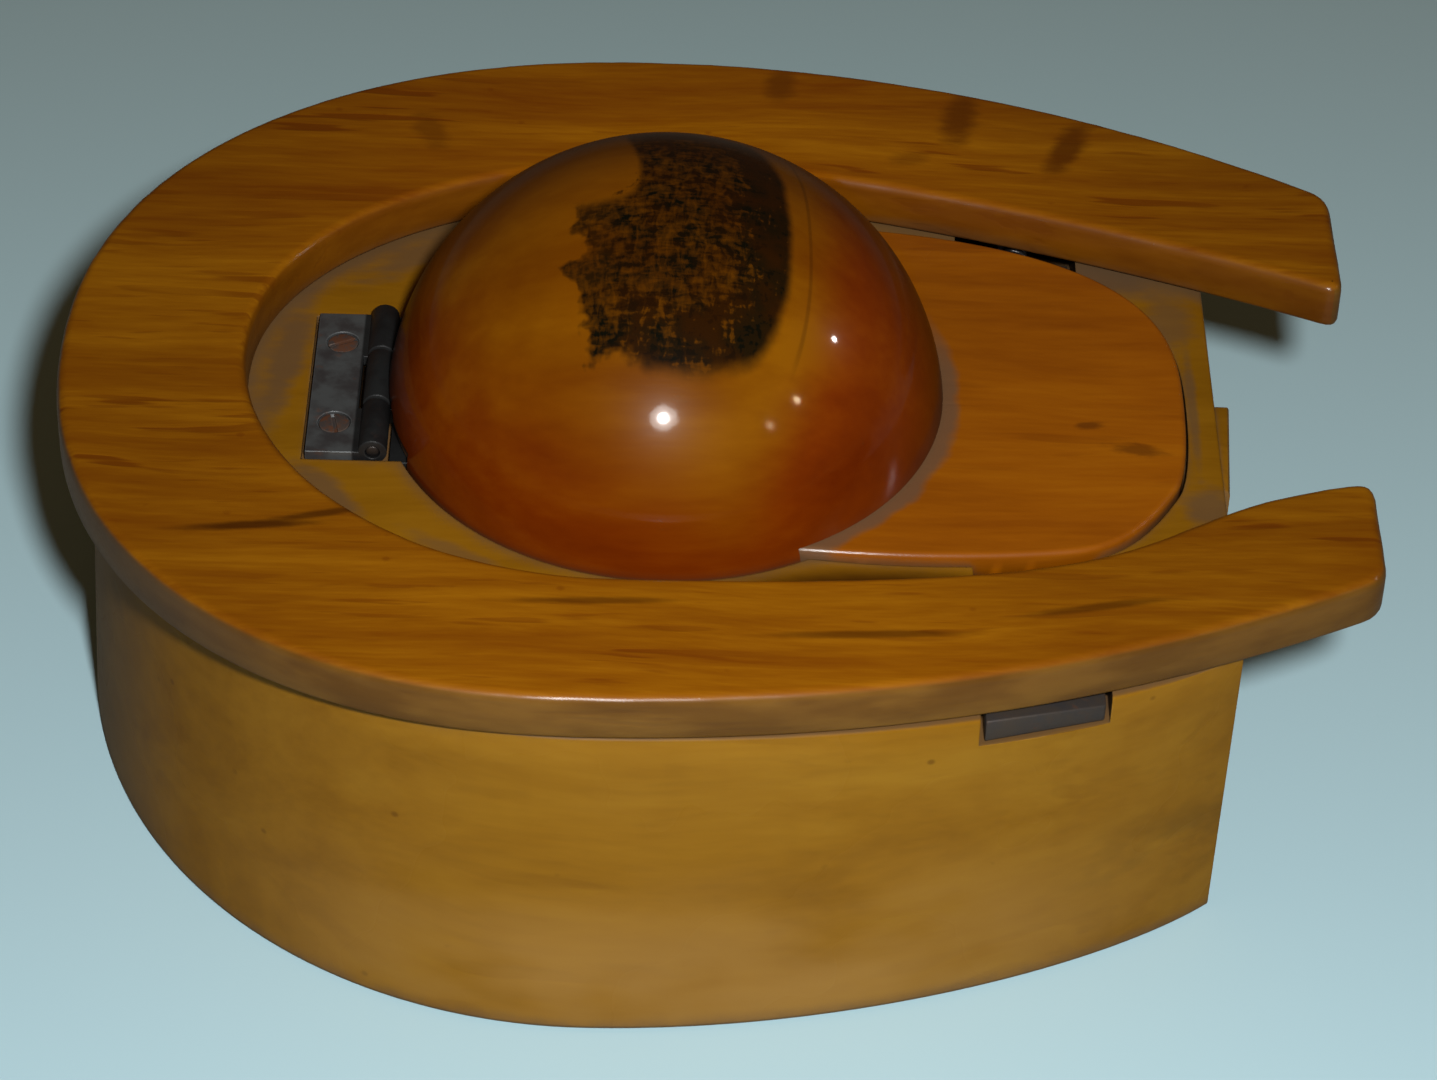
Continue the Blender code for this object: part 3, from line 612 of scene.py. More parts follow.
# ------------------------------------------------------------------ materials
def plate_marks(s, colour):
    """Old stains across the far arm and long dark streaks on the near side."""
    stain = (0.105, 0.026, 0.0006)
    dark = (0.05, 0.012, 0.0005)
    marks = [
        (5.3, 34.2, 1.5, 2.6, -10, 0.45, 0.7),
        (19.3, 30.2, 1.7, 4.0, -12, 0.5, 0.85),
        (27.6, 26.6, 1.5, 4.2, -24, 0.5, 0.85),
        (-22.0, 27.0, 1.5, 3.0, 25, 0.6, 0.5),
        (15.2, 24.8, 2.0, 1.0, 10, 0.6, 0.4),
    ]
    for mark in marks:
        colour = s.mix(spot(s, *mark), colour, stain)
    for mark in [
        (-32.5, -20.6, 6.0, 0.55, 6, 0.3, 0.8),
        (-27.5, -19.2, 4.0, 0.5, 14, 0.35, 0.7),
        (-8.0, -27.6, 7.0, 0.45, 2, 0.3, 0.55),
        (11.0, -30.4, 8.0, 0.5, 3, 0.3, 0.6),
        (27.0, -27.0, 6.0, 0.5, 12, 0.3, 0.55),
    ]:
        colour = s.mix(spot(s, *mark), colour, dark)
    # the sawn edge band is dull tan outside, and darker orange inside the horseshoe
    upright = s.step(s.math("ABSOLUTE", s.split(s.normal)[2]), 0.80, 0.45)
    px, py, _ = s.split(s.mm())
    nx, ny, _ = s.split(s.normal)
    outward = s.step(s.math("ADD", s.math("MULTIPLY", px, nx), s.math("MULTIPLY", py, ny)), -1.0, 1.0)
    blotch = s.step(s.noise(s.mm((0.12, 0.12, 0.4), (1, 2, 3)), 1.0, 3.0), 0.35, 0.65)
    tan = s.mix(blotch, (0.100, 0.043, 0.005), (0.168, 0.077, 0.010))
    # painted reflection: the edge band turns grey towards the toe
    left = s.step(px, -26, -44)
    tan = s.mix(s.math("MULTIPLY", left, 0.85), tan, (0.062, 0.055, 0.040))
    inner = s.mix(blotch, (0.13, 0.036, 0.0008), (0.18, 0.056, 0.0015))
    edge_colour = s.mix(outward, inner, tan)
    colour = s.mix(s.math("MULTIPLY", upright, 0.85), colour, edge_colour)
    return colour


def board_marks(s, colour):
    dark = (0.07, 0.016, 0.001)
    for mark in [(28.0, -3.3, 1.4, 0.6, 10, 0.8, 0.6), (31.0, -6.0, 2.4, 0.8, -12, 0.9, 0.6)]:
        colour = s.mix(spot(s, *mark), colour, dark)
    px, py, _ = s.split(s.mm((1, 1, 1), (-CAP_X, 0, 0)))
    ring = s.vec("LENGTH", s.join(px, py, 0.0))
    wobble = s.noise(s.mm((0.25, 0.25, 0.25), (6, 2, 0)), 1.0, 3.0, 0.6)
    ring = s.math("ADD", ring, s.math("MULTIPLY", s.math("SUBTRACT", wobble, 0.5), 1.6))
    band = s.math("MULTIPLY", s.step(ring, 22.1, 21.3), s.step(py, 12, 2))
    colour = s.mix(s.math("MULTIPLY", band, 0.85), colour, (0.135, 0.072, 0.036))
    return colour


def body_marks(s, colour):
    """Wax and dust with painted shade on the deck along the foot of the horseshoe, painted shade in the latch channel
    and the seat gap, and a painted grey reflection on the left walls.
    """
    px, py, pz = s.split(s.mm())
    deck = s.step(pz, BODY_TOP - 0.4, BODY_TOP - 0.15)
    # wax, dust and painted shade on the deck along the foot of the horseshoe
    for mark in [
        (30.5, 15.6, 5.0, 2.2, -26, 0.35, 0.9),
        (34.8, 10.5, 2.2, 4.0, 0, 0.5, 0.55),
        (35.9, 0.0, 0.5, 8.0, 0, 0.4, 0.6),
        (-31.5, 3.0, 1.6, 9.0, -8, 0.5, 0.75),
        (-27.5, -12.0, 1.6, 5.0, 38, 0.5, 0.7),
        (-22.0, 16.5, 6.5, 1.9, 38, 0.5, 0.7),
        (-17.0, -19.0, 6.0, 1.0, -33, 0.5, 0.45),
        (36.3, -11.5, 2.2, 3.2, 0, 0.6, 0.7),
    ]:
        colour = s.mix(s.math("MULTIPLY", spot(s, *mark), deck), colour, DUST_AND_SHADE)
    # painted shade: near black on the walls of the latch channel
    channel = s.math("MULTIPLY", s.step(s.math("ABSOLUTE", s.math("SUBTRACT", px, LATCH_X)), CHANNEL_HALF + 0.25, CHANNEL_HALF + 0.05), s.step(pz, BODY_TOP - 0.1, BODY_TOP - 0.6))
    channel = s.math("MULTIPLY", channel, s.step(pz, 22.0, 22.5))
    outside = s.step(s.math("MULTIPLY", py, -1.0), 31.5, 30.0)
    colour = s.mix(s.math("MULTIPLY", channel, outside), colour, (0.012, 0.006, 0.002))
    # handling stains on the walls
    for height, reach, amount, x0, x1 in ((9.0, 6.0, 0.35, 24, 34),):
        patch = s.math("MULTIPLY", s.step(px, x0, x1), s.step(s.math("ABSOLUTE", s.math("SUBTRACT", pz, height)), reach, 1.0))
        patch = s.math("MULTIPLY", patch, s.step(s.noise(s.mm((0.18, 0.18, 0.3), (3, 0, 1)), 1.0, 3.0), 0.40, 0.62))
        colour = s.mix(s.math("MULTIPLY", patch, amount), colour, (0.07, 0.036, 0.006))
    # painted shade: dark in the seat gap below the near edge of the board
    gap = s.math("MULTIPLY", spot(s, 13.0, -21.2, 13.0, 2.6, 0, 0.1, 1.0), s.step(pz, 24.0, 24.5))
    colour = s.mix(gap, colour, (0.05, 0.016, 0.001))
    # the varnish is thinner and paler towards the foot
    pale = s.math("MULTIPLY", s.step(pz, 17.0, 3.0), s.step(s.math("ABSOLUTE", px), 40.0, 12.0))
    pale = s.math("MULTIPLY", pale, s.step(s.noise(s.mm((0.05, 0.05, 0.12), (8, 1, 5)), 1.0, 3.0), 0.25, 0.6))
    colour = s.mix(s.math("MULTIPLY", pale, 0.7), colour, (0.335, 0.172, 0.040))
    # painted reflection: the upright walls turn grey towards the toe
    shade = s.math("MULTIPLY", s.step(px, -36, -47), s.step(s.split(s.normal)[2], 0.5, 0.2))
    return s.mix(s.math("MULTIPLY", shade, 0.6), colour, (0.10, 0.09, 0.065))


PLATE_WOOD, _ = varnished_wood(
    "plate_wood_fine",
    dark=(0.178, 0.044, 0.0006),
    middle=(0.253, 0.081, 0.0010),
    light=(0.355, 0.133, 0.0026),
    streak=(0.145, 0.030, 0.0005),
    streak_amount=0.72,
    fibre=(0.060, 0.66, 0.66),
    gloss=0.17,
    coat=0.4,
    specular=0.12,
    extra=plate_marks,
    fleck=0.4,
    dust_and_shade_amount=0.30,
    dust_and_shade_reach=1.6,
    shaded_ends=0.25,
)
BODY_WOOD, _ = varnished_wood(
    "body_wood_fine",
    dark=(0.185, 0.075, 0.0022),
    middle=(0.242, 0.104, 0.004),
    light=(0.285, 0.131, 0.007),
    streak=(0.10, 0.034, 0.0015),
    streak_amount=0.16,
    fibre=(0.05, 0.35, 0.35),
    figure=0.10,
    gloss=0.22,
    coat=0.22,
    specular=0.05,
    extra=body_marks,
    fleck=0.6,
    dust_and_shade_amount=0.8,
    dust_and_shade_reach=2.2,
    pores=0.5,
    shaded_ends=0.12,
)
BOARD_WOOD, _ = varnished_wood(
    "board_wood_fine",
    dark=(0.205, 0.050, 0.0005),
    middle=(0.27, 0.074, 0.0008),
    light=(0.33, 0.102, 0.0015),
    streak=(0.14, 0.03, 0.0004),
    streak_amount=0.25,
    fibre=(0.06, 0.5, 0.5),
    gloss=0.2,
    coat=0.55,
    extra=board_marks,
    dust_and_shade_amount=0.55,
    dust_and_shade_reach=1.0,
    pores=0.5,
    worn=(0.30, 0.11, 0.006),
)


def dome_material():
    """Turned wood under a thick amber gloss, redder towards its foot, with a stippled oval vignette."""
    s = Shade("dome_wood_fine")
    p = s.mm((1, 1, 1), (-CAP_X, 0, -DOME_Z))
    x, y, z = s.split(p)
    wavy = s.vec("ADD", s.mm((0.04, 0.16, 0.16)), s.vec("SCALE", s.noise(s.mm((0.03, 0.03, 0.03)), 1, 2, colour=True), 2.0))
    broad = s.noise(wavy, 0.8, 3.0, 0.5)
    fine = s.noise(s.mm((0.15, 1.2, 1.2)), 1.0, 3.0, 0.6)
    tone = s.math("ADD", s.math("MULTIPLY", broad, 0.8), s.math("MULTIPLY", fine, 0.2))
    top = s.ramp(tone, [(0.35, (0.135, 0.037, 0.0003)), (0.52, (0.175, 0.054, 0.0005)), (0.66, (0.215, 0.073, 0.001))])
    foot = s.ramp(tone, [(0.35, (0.110, 0.013, 0.0003)), (0.52, (0.150, 0.022, 0.0003)), (0.66, (0.185, 0.034, 0.0005))])
    # the stain pools towards the foot and on the hinge side
    depth = s.math("ADD", s.math("MULTIPLY", z, 0.052), s.math("MULTIPLY", x, 0.012))
    depth = s.math("ADD", depth, s.math("MULTIPLY", s.math("SUBTRACT", broad, 0.5), 0.5))
    depth = s.math("SUBTRACT", depth, s.math("MULTIPLY", s.step(x, 4.0, 17.0), 0.92))
    colour = s.mix(s.step(depth, 0.12, 0.78), foot, top)
    # vignette: an upright rounded patch on the front of the crown
    centre = Vector((0.045, -0.11, 1.0)).normalized()
    across = Vector((1.0, 0.04, 0.0))
    across = (across - centre * across.dot(centre)).normalized()
    along = centre.cross(across)
    unit = s.vec("NORMALIZE", p)
    u = s.math("MULTIPLY", s.vec("DOT_PRODUCT", unit, tuple(across)), 1 / 0.375)
    v = s.math("MULTIPLY", s.vec("DOT_PRODUCT", unit, tuple(along)), 1 / 0.60)
    up = s.step(s.vec("DOT_PRODUCT", unit, tuple(centre)), 0.0, 0.2)
    radial = s.math("ADD", s.math("POWER", s.math("ABSOLUTE", u), 3.2), s.math("POWER", s.math("ABSOLUTE", v), 2.6))
    grain = s.noise(s.mm((1.1, 1.1, 1.1), (3, 1, 0)), 1.0, 4.0, 0.65)
    coarse = s.noise(s.mm((0.34, 0.34, 0.34), (7, 4, 0)), 1.0, 3.0, 0.55)
    leftness = s.step(u, -0.1, -1.0)
    ragged = s.math("MULTIPLY", s.math("SUBTRACT", coarse, 0.5), s.math("ADD", 0.25, s.math("MULTIPLY", leftness, 2.6)))
    reach = s.math("ADD", radial, ragged)
    inside = s.step(reach, 1.16, 0.84)
    # the print is dense down its right side and along its foot, open at the upper left
    density = s.math("ADD", 0.50, s.math("MULTIPLY", s.step(u, 0.30, 0.80), 0.55))
    density = s.math("ADD", density, s.math("MULTIPLY", s.step(v, -0.45, -0.85), 0.40))
    density = s.math("ADD", density, s.math("MULTIPLY", s.step(v, 0.45, 0.95), 0.40))
    open_left = s.math("MULTIPLY", s.step(u, -0.28, -0.56), s.step(v, 0.02, 0.36))
    density = s.math("SUBTRACT", density, s.math("MULTIPLY", open_left, 0.75))
    density = s.math("SUBTRACT", density, s.math("MULTIPLY", s.step(u, -0.30, -0.80), 0.12))
    strokes = s.noise(s.mm((1.9, 0.75, 0.75), (1, 4, 0)), 1.0, 3.0, 0.6, 0.6)
    bars = s.noise(s.mm((0.8, 2.2, 2.2), (2, 2, 2)), 1.0, 2.0, 0.5, 0.4)
    body = s.math("ADD", s.math("MULTIPLY", strokes, 0.6), s.math("MULTIPLY", bars, 0.4))
    body = s.math("ADD", body, s.math("MULTIPLY", s.math("SUBTRACT", coarse, 0.5), 0.45))
    level = s.math("SUBTRACT", 0.72, s.math("MULTIPLY", density, 0.42))
    ink = s.step(s.math("SUBTRACT", body, level), -0.12, 0.12)
    ink = s.math("MULTIPLY", ink, 0.96)
    woven = s.math("ADD", s.math("MULTIPLY", s.math("SUBTRACT", strokes, 0.5), 1.0), s.math("MULTIPLY", s.math("SUBTRACT", bars, 0.5), 0.9))
    wash = s.math("MULTIPLY", s.step(density, 0.12, 0.44), s.math("ADD", 0.86, woven, clamp=True))
    ink = s.math("MAXIMUM", ink, wash)
    ink = s.math("MULTIPLY", s.math("MULTIPLY", ink, inside), up)
    # a thin rule outside the patch on its far right
    rule = s.math("MULTIPLY", s.step(s.math("ABSOLUTE", s.math("SUBTRACT", radial, 1.75)), 0.12, 0.03), s.step(u, 0.95, 1.10))
    rule = s.math("MULTIPLY", s.math("MULTIPLY", rule, up), 0.30)
    print_colour = s.mix(s.step(coarse, 0.35, 0.65), (0.0034, 0.003, 0.0012), (0.015, 0.0045, 0.0006))
    colour = s.mix(s.math("MAXIMUM", ink, rule), colour, print_colour)
    hollow = s.math("LESS_THAN", s.vec("LENGTH", p), DOME_RADIUS - 0.8)
    turned = s.noise(s.join(s.vec("LENGTH", s.join(x, y, 0.0)), z, 0.0), 2.4, 2.0, 0.5)
    bare = s.mix(turned, (0.26, 0.13, 0.045), (0.42, 0.25, 0.10))
    colour = s.mix(hollow, colour, bare)
    near = s.corner(1.5)
    rub = s.noise(s.mm((0.09, 0.09, 0.09), (1, 6, 2)), 1.0, 3.0)
    skin = s.math("ADD", s.noise(s.mm((0.16, 0.16, 0.16)), 1.0, 2.0), s.math("MULTIPLY", s.noise(s.mm((1.2, 1.2, 1.2)), 1.0, 2.0), 0.06))
    nibs = s.step(s.voronoi(s.mm((0.5, 0.5, 0.5)), 1.0), 0.07, 0.0)
    skin = s.math("ADD", skin, s.math("MULTIPLY", nibs, 0.15))
    # painted shade: the colour darkens in the corners where the dome meets other surfaces
    colour = s.mix(s.math("MULTIPLY", s.step(near, 0.3, 0.7), 0.5), colour, (0.05, 0.03, 0.015))
    # painted shade: the colour darkens towards the dome's outline as seen from the camera
    facing = s.tree.nodes.new("ShaderNodeLayerWeight")
    facing.inputs["Blend"].default_value = 0.5
    rim = s.step(facing.outputs["Facing"], 0.45, 0.95)
    colour = s.mix(s.math("MULTIPLY", rim, 0.7), colour, (0.04, 0.010, 0.0005))
    coat = s.math("MULTIPLY", s.mix(hollow, (0.85, 0.85, 0.85), (0.15, 0.15, 0.15)), s.math("SUBTRACT", 1.0, s.math("MULTIPLY", s.step(facing.outputs["Facing"], 0.50, 0.88), 0.95)))
    s.bsdf.inputs["Coat IOR"].default_value = 1.36
    return s.set(
        colour=colour,
        rough=s.step(rub, 0.3, 0.7, 0.28, 0.36),
        normal=s.bump(fine, 0.02, 0.4),
        coat=coat,
        coat_rough=s.step(rub, 0.3, 0.7, 0.05, 0.10),
        coat_normal=s.bump(skin, 0.10, 0.5),
        specular=0.06,
    )


DOME_WOOD = dome_material()


def bare_material(name, a, b, rings=True):
    s = Shade(name)
    p = s.mm((1, 1, 1), (-CAP_X, 0, 0))
    x, y, z = s.split(p)
    lines = s.noise(s.join(s.vec("LENGTH", s.join(x, y, 0.0)), s.math("MULTIPLY", z, 1.6), 0.0), 2.2, 3.0, 0.6)
    fibre_noise = s.noise(s.mm((0.3, 2.2, 2.2)), 1.0, 3.0)
    tone = s.math("ADD", s.math("MULTIPLY", lines, 0.5), s.math("MULTIPLY", fibre_noise, 0.5))
    colour = s.ramp(tone, [(0.35, a), (0.65, b)])
    ink = s.step(s.noise(s.mm((0.25, 0.25, 0.25), (4, 4, 4)), 1.0, 3.0), 0.56, 0.66)
    colour = s.mix(s.math("MULTIPLY", ink, 0.5), colour, (0.02, 0.02, 0.03))
    return s.set(colour=colour, rough=0.62, normal=s.bump(tone, 0.08, 0.6))


BOSS_WOOD = bare_material("boss_wood_fine", (0.24, 0.13, 0.05), (0.44, 0.28, 0.12))


def steel(name, base, rust_amount, rough=0.42, brush=(0.4, 3.0, 3.0), bright=None, tint=(0.055, 0.05, 0.05), metal=0.92, shadow_from=None):
    """Old steel: brushed, darkened, with rust in patches and bright edges."""
    s = Shade(name)
    scratch = s.noise(s.mm(brush), 1.0, 3.0, 0.6)
    cloud = s.noise(s.mm((0.45, 0.45, 0.45), (5, 1, 2)), 1.0, 4.0, 0.6)
    colour = s.mix(s.step(cloud, 0.35, 0.65), base, tint)
    edge, soft_normal = s.edge(0.14)
    colour = s.mix(s.math("MULTIPLY", edge, 0.7), colour, bright or tuple(min(1.0, 3.2 * c) for c in base))
    rust_map = s.step(s.noise(s.mm((0.7, 0.7, 0.7), (2, 7, 4)), 1.0, 5.0, 0.7), 0.62 - 0.25 * rust_amount, 0.72 - 0.2 * rust_amount)
    rust = s.math("MULTIPLY", rust_map, min(1.0, 0.35 + rust_amount))
    colour = s.mix(rust, colour, (0.085, 0.030, 0.012))
    # painted shadow: past a given x the steel turns near black, where the hinge lies in the shadow under the dome
    if shadow_from is not None:
        x = s.split(s.mm())[0]
        colour = s.mix(s.math("MULTIPLY", s.step(x, shadow_from - 0.1, shadow_from + 0.1), 0.82), colour, (0.006, 0.006, 0.006))
    height = s.math("ADD", s.math("MULTIPLY", scratch, 0.4), s.math("MULTIPLY", cloud, 0.8))
    return s.set(
        colour=colour,
        metal=s.math("SUBTRACT", metal, s.math("MULTIPLY", rust, 0.8 * metal)),
        rough=s.math("ADD", s.math("ADD", rough, s.math("MULTIPLY", scratch, 0.12)), s.math("MULTIPLY", rust, 0.3)),
        normal=s.bump(height, 0.05, 0.5, soft_normal),
    )


HINGE_STEEL = steel("hinge_steel_fine", (0.095, 0.10, 0.10), 0.12, 0.42, bright=(0.26, 0.28, 0.29), metal=0.45, shadow_from=HINGE_X - 1.5)
PIN_STEEL = steel("pin_steel_fine", (0.09, 0.085, 0.08), 0.35, 0.4)
BAR_STEEL = steel("bar_steel_fine", (0.072, 0.056, 0.044), 0.2, 0.45, (3.0, 0.4, 3.0), bright=(0.15, 0.125, 0.10), metal=0.5)
SCREW_STEEL = steel("screw_steel_fine", (0.085, 0.060, 0.048), 0.6, 0.5, metal=0.4)
SPRING_STEEL = steel("spring_steel_fine", (0.22, 0.22, 0.23), 0.1, 0.3)


def brass(name):
    s = Shade(name)
    cloud = s.noise(s.mm((0.6, 0.6, 0.6)), 1.0, 4.0, 0.6)
    edge, soft_normal = s.edge(0.12)
    colour = s.mix(s.step(cloud, 0.35, 0.65), (0.50, 0.33, 0.11), (0.22, 0.13, 0.045))
    colour = s.mix(s.math("MULTIPLY", edge, 0.7), colour, (0.75, 0.55, 0.24))
    return s.set(colour=colour, metal=0.95, rough=s.step(cloud, 0.3, 0.7, 0.28, 0.45), normal=s.bump(cloud, 0.03, 0.5, soft_normal))


BRASS = brass("brass_fine")


def leather(name):
    s = Shade(name)
    cells = s.voronoi(s.mm((1.9, 1.9, 1.9)), 1.0)
    small = s.voronoi(s.mm((4.2, 4.2, 4.2)), 1.0)
    height = s.math("ADD", s.step(cells, 0.05, 0.5), s.math("MULTIPLY", small, 0.5))
    cloud = s.noise(s.mm((0.3, 0.3, 0.3)), 1.0, 4.0)
    colour = s.mix(cloud, (0.085, 0.032, 0.014), (0.17, 0.075, 0.034))
    x, y, _ = s.split(s.mm((1, 1, 1), (-CAP_X, 0, 0)))
    ring = s.vec("LENGTH", s.join(x, y, 0.0))
    pressed = s.math("MULTIPLY", s.step(ring, 5.6, 6.3), s.step(ring, 9.6, 9.0))
    colour = s.mix(s.math("MULTIPLY", pressed, 0.5), colour, (0.03, 0.014, 0.012))
    ink = s.step(s.noise(s.mm((0.4, 0.4, 0.4), (8, 1, 1)), 1.0, 3.0), 0.5, 0.62)
    colour = s.mix(s.math("MULTIPLY", ink, 0.6), colour, (0.012, 0.013, 0.022))
    return s.set(colour=colour, rough=0.6, normal=s.bump(height, 0.10, 0.7), sheen=0.1)


LEATHER = leather("leather_fine")


def glass(name):
    """Pressed glass with faint waves, a green cast and dried ink at the bottom of the hollow."""
    s = Shade(name)
    p = s.mm((1, 1, 1), (-CAP_X, 0, 0))
    x, y, z = s.split(p)
    r = s.vec("LENGTH", s.join(x, y, 0.0))
    inner = s.math("MULTIPLY", s.math("LESS_THAN", r, 14.4), s.math("GREATER_THAN", z, 6.6))
    edge_noise = s.noise(s.mm((0.2, 0.2, 0.35)), 1.0, 4.0, 0.6)
    level = s.math("ADD", z, s.math("MULTIPLY", s.math("SUBTRACT", edge_noise, 0.5), 5.0))
    ink = s.math("MULTIPLY", inner, s.step(level, 14.0, 10.5))
    drips = s.math("MULTIPLY", inner, s.step(s.noise(s.mm((0.9, 0.9, 0.12), (1, 3, 0)), 1.0, 3.0), 0.60, 0.68))
    ink = s.math("MAXIMUM", ink, s.math("MULTIPLY", drips, 0.7))
    colour = s.mix(ink, (0.83, 0.92, 0.88), (0.012, 0.012, 0.03))
    wave = s.noise(s.mm((0.12, 0.12, 0.2)), 1.0, 2.0)
    return s.set(
        colour=colour,
        glass=s.math("SUBTRACT", 1.0, ink),
        rough=s.math("ADD", 0.03, s.math("MULTIPLY", ink, 0.5)),
        ior=1.5,
        normal=s.bump(wave, 0.25, 0.5),
    )


GLASS = glass("glass_fine")


def dress(obj, material, body, slot, *nodes):
    """Gives a finished piece its material, body and place."""
    obj.data.materials.clear()
    obj.data.materials.append(material)
    for polygon in obj.data.polygons:
        polygon.material_index = 0
    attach(obj, body)
    if nodes:
        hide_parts(*nodes)
    return obj


# ------------------------------------------------------------------ outlines
rim_far = even(side(TOE_X, -4.5, 37.5, 2.17, HEEL_X, 21.6, 12.3, 20.6, 13.1, 160, 120), 0.7)
rim_near = even(side(TOE_X, -8.6, 37.6, 2.19, HEEL_X, 23.1, 22.2, 16.0, 8.6, 160, 120), 0.7)
opening_far = even(side(OPENING_TOE_X, -2.0, 23.5, 2.1, HEEL_X, 9.4, 12.0, 14.0, 6.3, 160, 120), 0.7)
opening_near = even(side(OPENING_TOE_X, -6.5, 24.8, 2.0, HEEL_X, 12.4, 46.0, 20.5, 4.1, 160, 120), 0.7)


def around(a, corner, b, cut, steps=5):
    """A small arc that cuts the corner between the directions to a and to b."""
    c = Vector(corner)
    u, v = (Vector(a) - c).normalized() * cut, (Vector(b) - c).normalized() * cut
    return [tuple(c + u * (1 - k / steps) ** 2 + v * (k / steps) ** 2) for k in range(steps + 1)]


def trimmed(line, cut):
    """The line without its last stretch of the given length."""
    end = line[-1]
    kept = [q for q in line if math.dist(q, end) > cut]
    return kept


CORNER = 1.7
runs = [
    [(x, -y) for x, y in rim_near],
    [(x, -y) for x, y in opening_near],
    opening_far,
    rim_far,
]
ends = [run[-1] for run in runs]
kept = [trimmed(run, CORNER) for run in runs]


def heel(outer, inner):
    a, b = Vector(outer), Vector(inner)
    n = max(2, int((b - a).length / 0.7))
    return [tuple(a.lerp(b, k / n)) for k in range(n + 1) if CORNER < (b - a).length * k / n < (b - a).length - CORNER]


rim_outline = (
    kept[0]
    + around(kept[0][-1], ends[0], ends[1], CORNER)
    + heel(ends[0], ends[1])
    + around(ends[0], ends[1], kept[1][-1], CORNER)
    + list(reversed(kept[1]))
    + kept[2][1:]
    + around(kept[2][-1], ends[2], ends[3], CORNER)
    + heel(ends[2], ends[3])
    + around(ends[2], ends[3], kept[3][-1], CORNER)
    + list(reversed(kept[3][1:]))
)


def body_side(toe_x, half, end_half):
    return side(toe_x, -8.0, half, 2.0, BODY_END_X, end_half, 18.5, 8.0, 6.6, 60, 44)


bottom_side = body_side(BODY_TOE_X_BOTTOM, BODY_HALF_WIDTH_BOTTOM, BODY_END_HALF_BOTTOM)
top_side = body_side(BODY_TOE_X_TOP, BODY_HALF_WIDTH_TOP, BODY_END_HALF_TOP)
body_bottom = both_sides(bottom_side, bottom_side)
body_top = both_sides(top_side, top_side)


def bezier(a, b, c, d, steps):
    out = []
    for i in range(1, steps + 1):
        t = i / steps
        w = ((1 - t) ** 3, 3 * (1 - t) ** 2 * t, 3 * (1 - t) * t * t, t**3)
        out.append(tuple(sum(w[k] * (a, b, c, d)[k][n] for k in range(4)) for n in (0, 1)))
    return out


def peak_far():
    points = []
    for i in range(121):
        t = 0.5 * math.pi * i / 120
        c, q = abs(math.cos(t)), abs(math.sin(t))
        points.append((CAP_X + PEAK_REACH * c ** (2 / PEAK_POWER_FAR), PEAK_HALF_FAR * q ** (2 / PEAK_POWER_FAR)))
    return even(points, 0.6)


def peak_near(start):
    points = [start]
    points += bezier(start, (13.0, -18.6), (20.0, -18.5), (26.2, -17.5), 24)
    points += bezier((26.2, -17.5), (30.2, -16.9), (32.4, -13.2), (34.2, -9.8), 18)
    points += bezier((34.2, -9.8), (35.0, -7.4), (CAP_X + PEAK_REACH, -3.6), (CAP_X + PEAK_REACH, 0.0), 16)
    return even(points, 0.6)[:-1]


def circle_part(radius, start, end, steps):
    return [
        (
            CAP_X + radius * math.cos(math.radians(start + (end - start) * i / steps)),
            radius * math.sin(math.radians(start + (end - start) * i / steps)),
        )
        for i in range(steps + 1)
    ]


def board_outline():
    hinge = math.degrees(math.asin(HINGE_GAP_HALF / HINGE_BOARD_RADIUS))
    hinge_in = math.degrees(math.asin(HINGE_GAP_HALF / BOARD_RADIUS))
    near = 360 - math.degrees(math.asin(-PEAK_START_NEAR[1] / BOARD_RADIUS))
    start = circle_part(BOARD_RADIUS, near, near, 1)[0]
    return (
        peak_far()
        + circle_part(BOARD_RADIUS, 91.5, 180 - hinge_in, 40)
        + circle_part(HINGE_BOARD_RADIUS, 180 - hinge, 180 + hinge, 30)
        + circle_part(BOARD_RADIUS, 180 + hinge_in, near, 60)[:-1]
        + peak_near(start)
    )


def seat_outline(grow):
    near = 360 - math.degrees(math.asin(-PEAK_START_NEAR[1] / DOME_RADIUS))
    start = circle_part(DOME_RADIUS, near, near, 1)[0]
    return offset(peak_far() + circle_part(DOME_RADIUS, 92, near, 100)[:-1] + peak_near(start), grow)


# ------------------------------------------------------------------ box
def body_rings():
    rings = []
    layers = [(0.3, 0.0), (0.12, 0.06), (0.03, 0.18), (0.0, 0.4)]
    layers += [(0.0, z) for z in (4.0, 8.0, 12.0, 16.0, 20.0, 23.0)]
    layers += [(0.0, BODY_TOP - 0.25), (0.08, BODY_TOP - 0.07), (0.22, BODY_TOP)]
    for inset, z in layers:
        share = z / BODY_TOP
        a, b = offset(body_bottom, -inset), offset(body_top, -inset)
        ring = []
        for p, q in zip(a, b):
            x, y = p[0] + (q[0] - p[0]) * share, p[1] + (q[1] - p[1]) * share
            ring.append((x, y, z))
        rings.append(ring)
    return rings


def rounded_rect(x0, y0, x1, y1, r, steps=5):
    out = []
    for cx, cy, a0 in ((x1 - r, y0 + r, -90), (x1 - r, y1 - r, 0), (x0 + r, y1 - r, 90), (x0 + r, y0 + r, 180)):
        for k in range(steps + 1):
            a = math.radians(a0 + 90 * k / steps)
            out.append((cx + r * math.cos(a), cy + r * math.sin(a)))
    return out


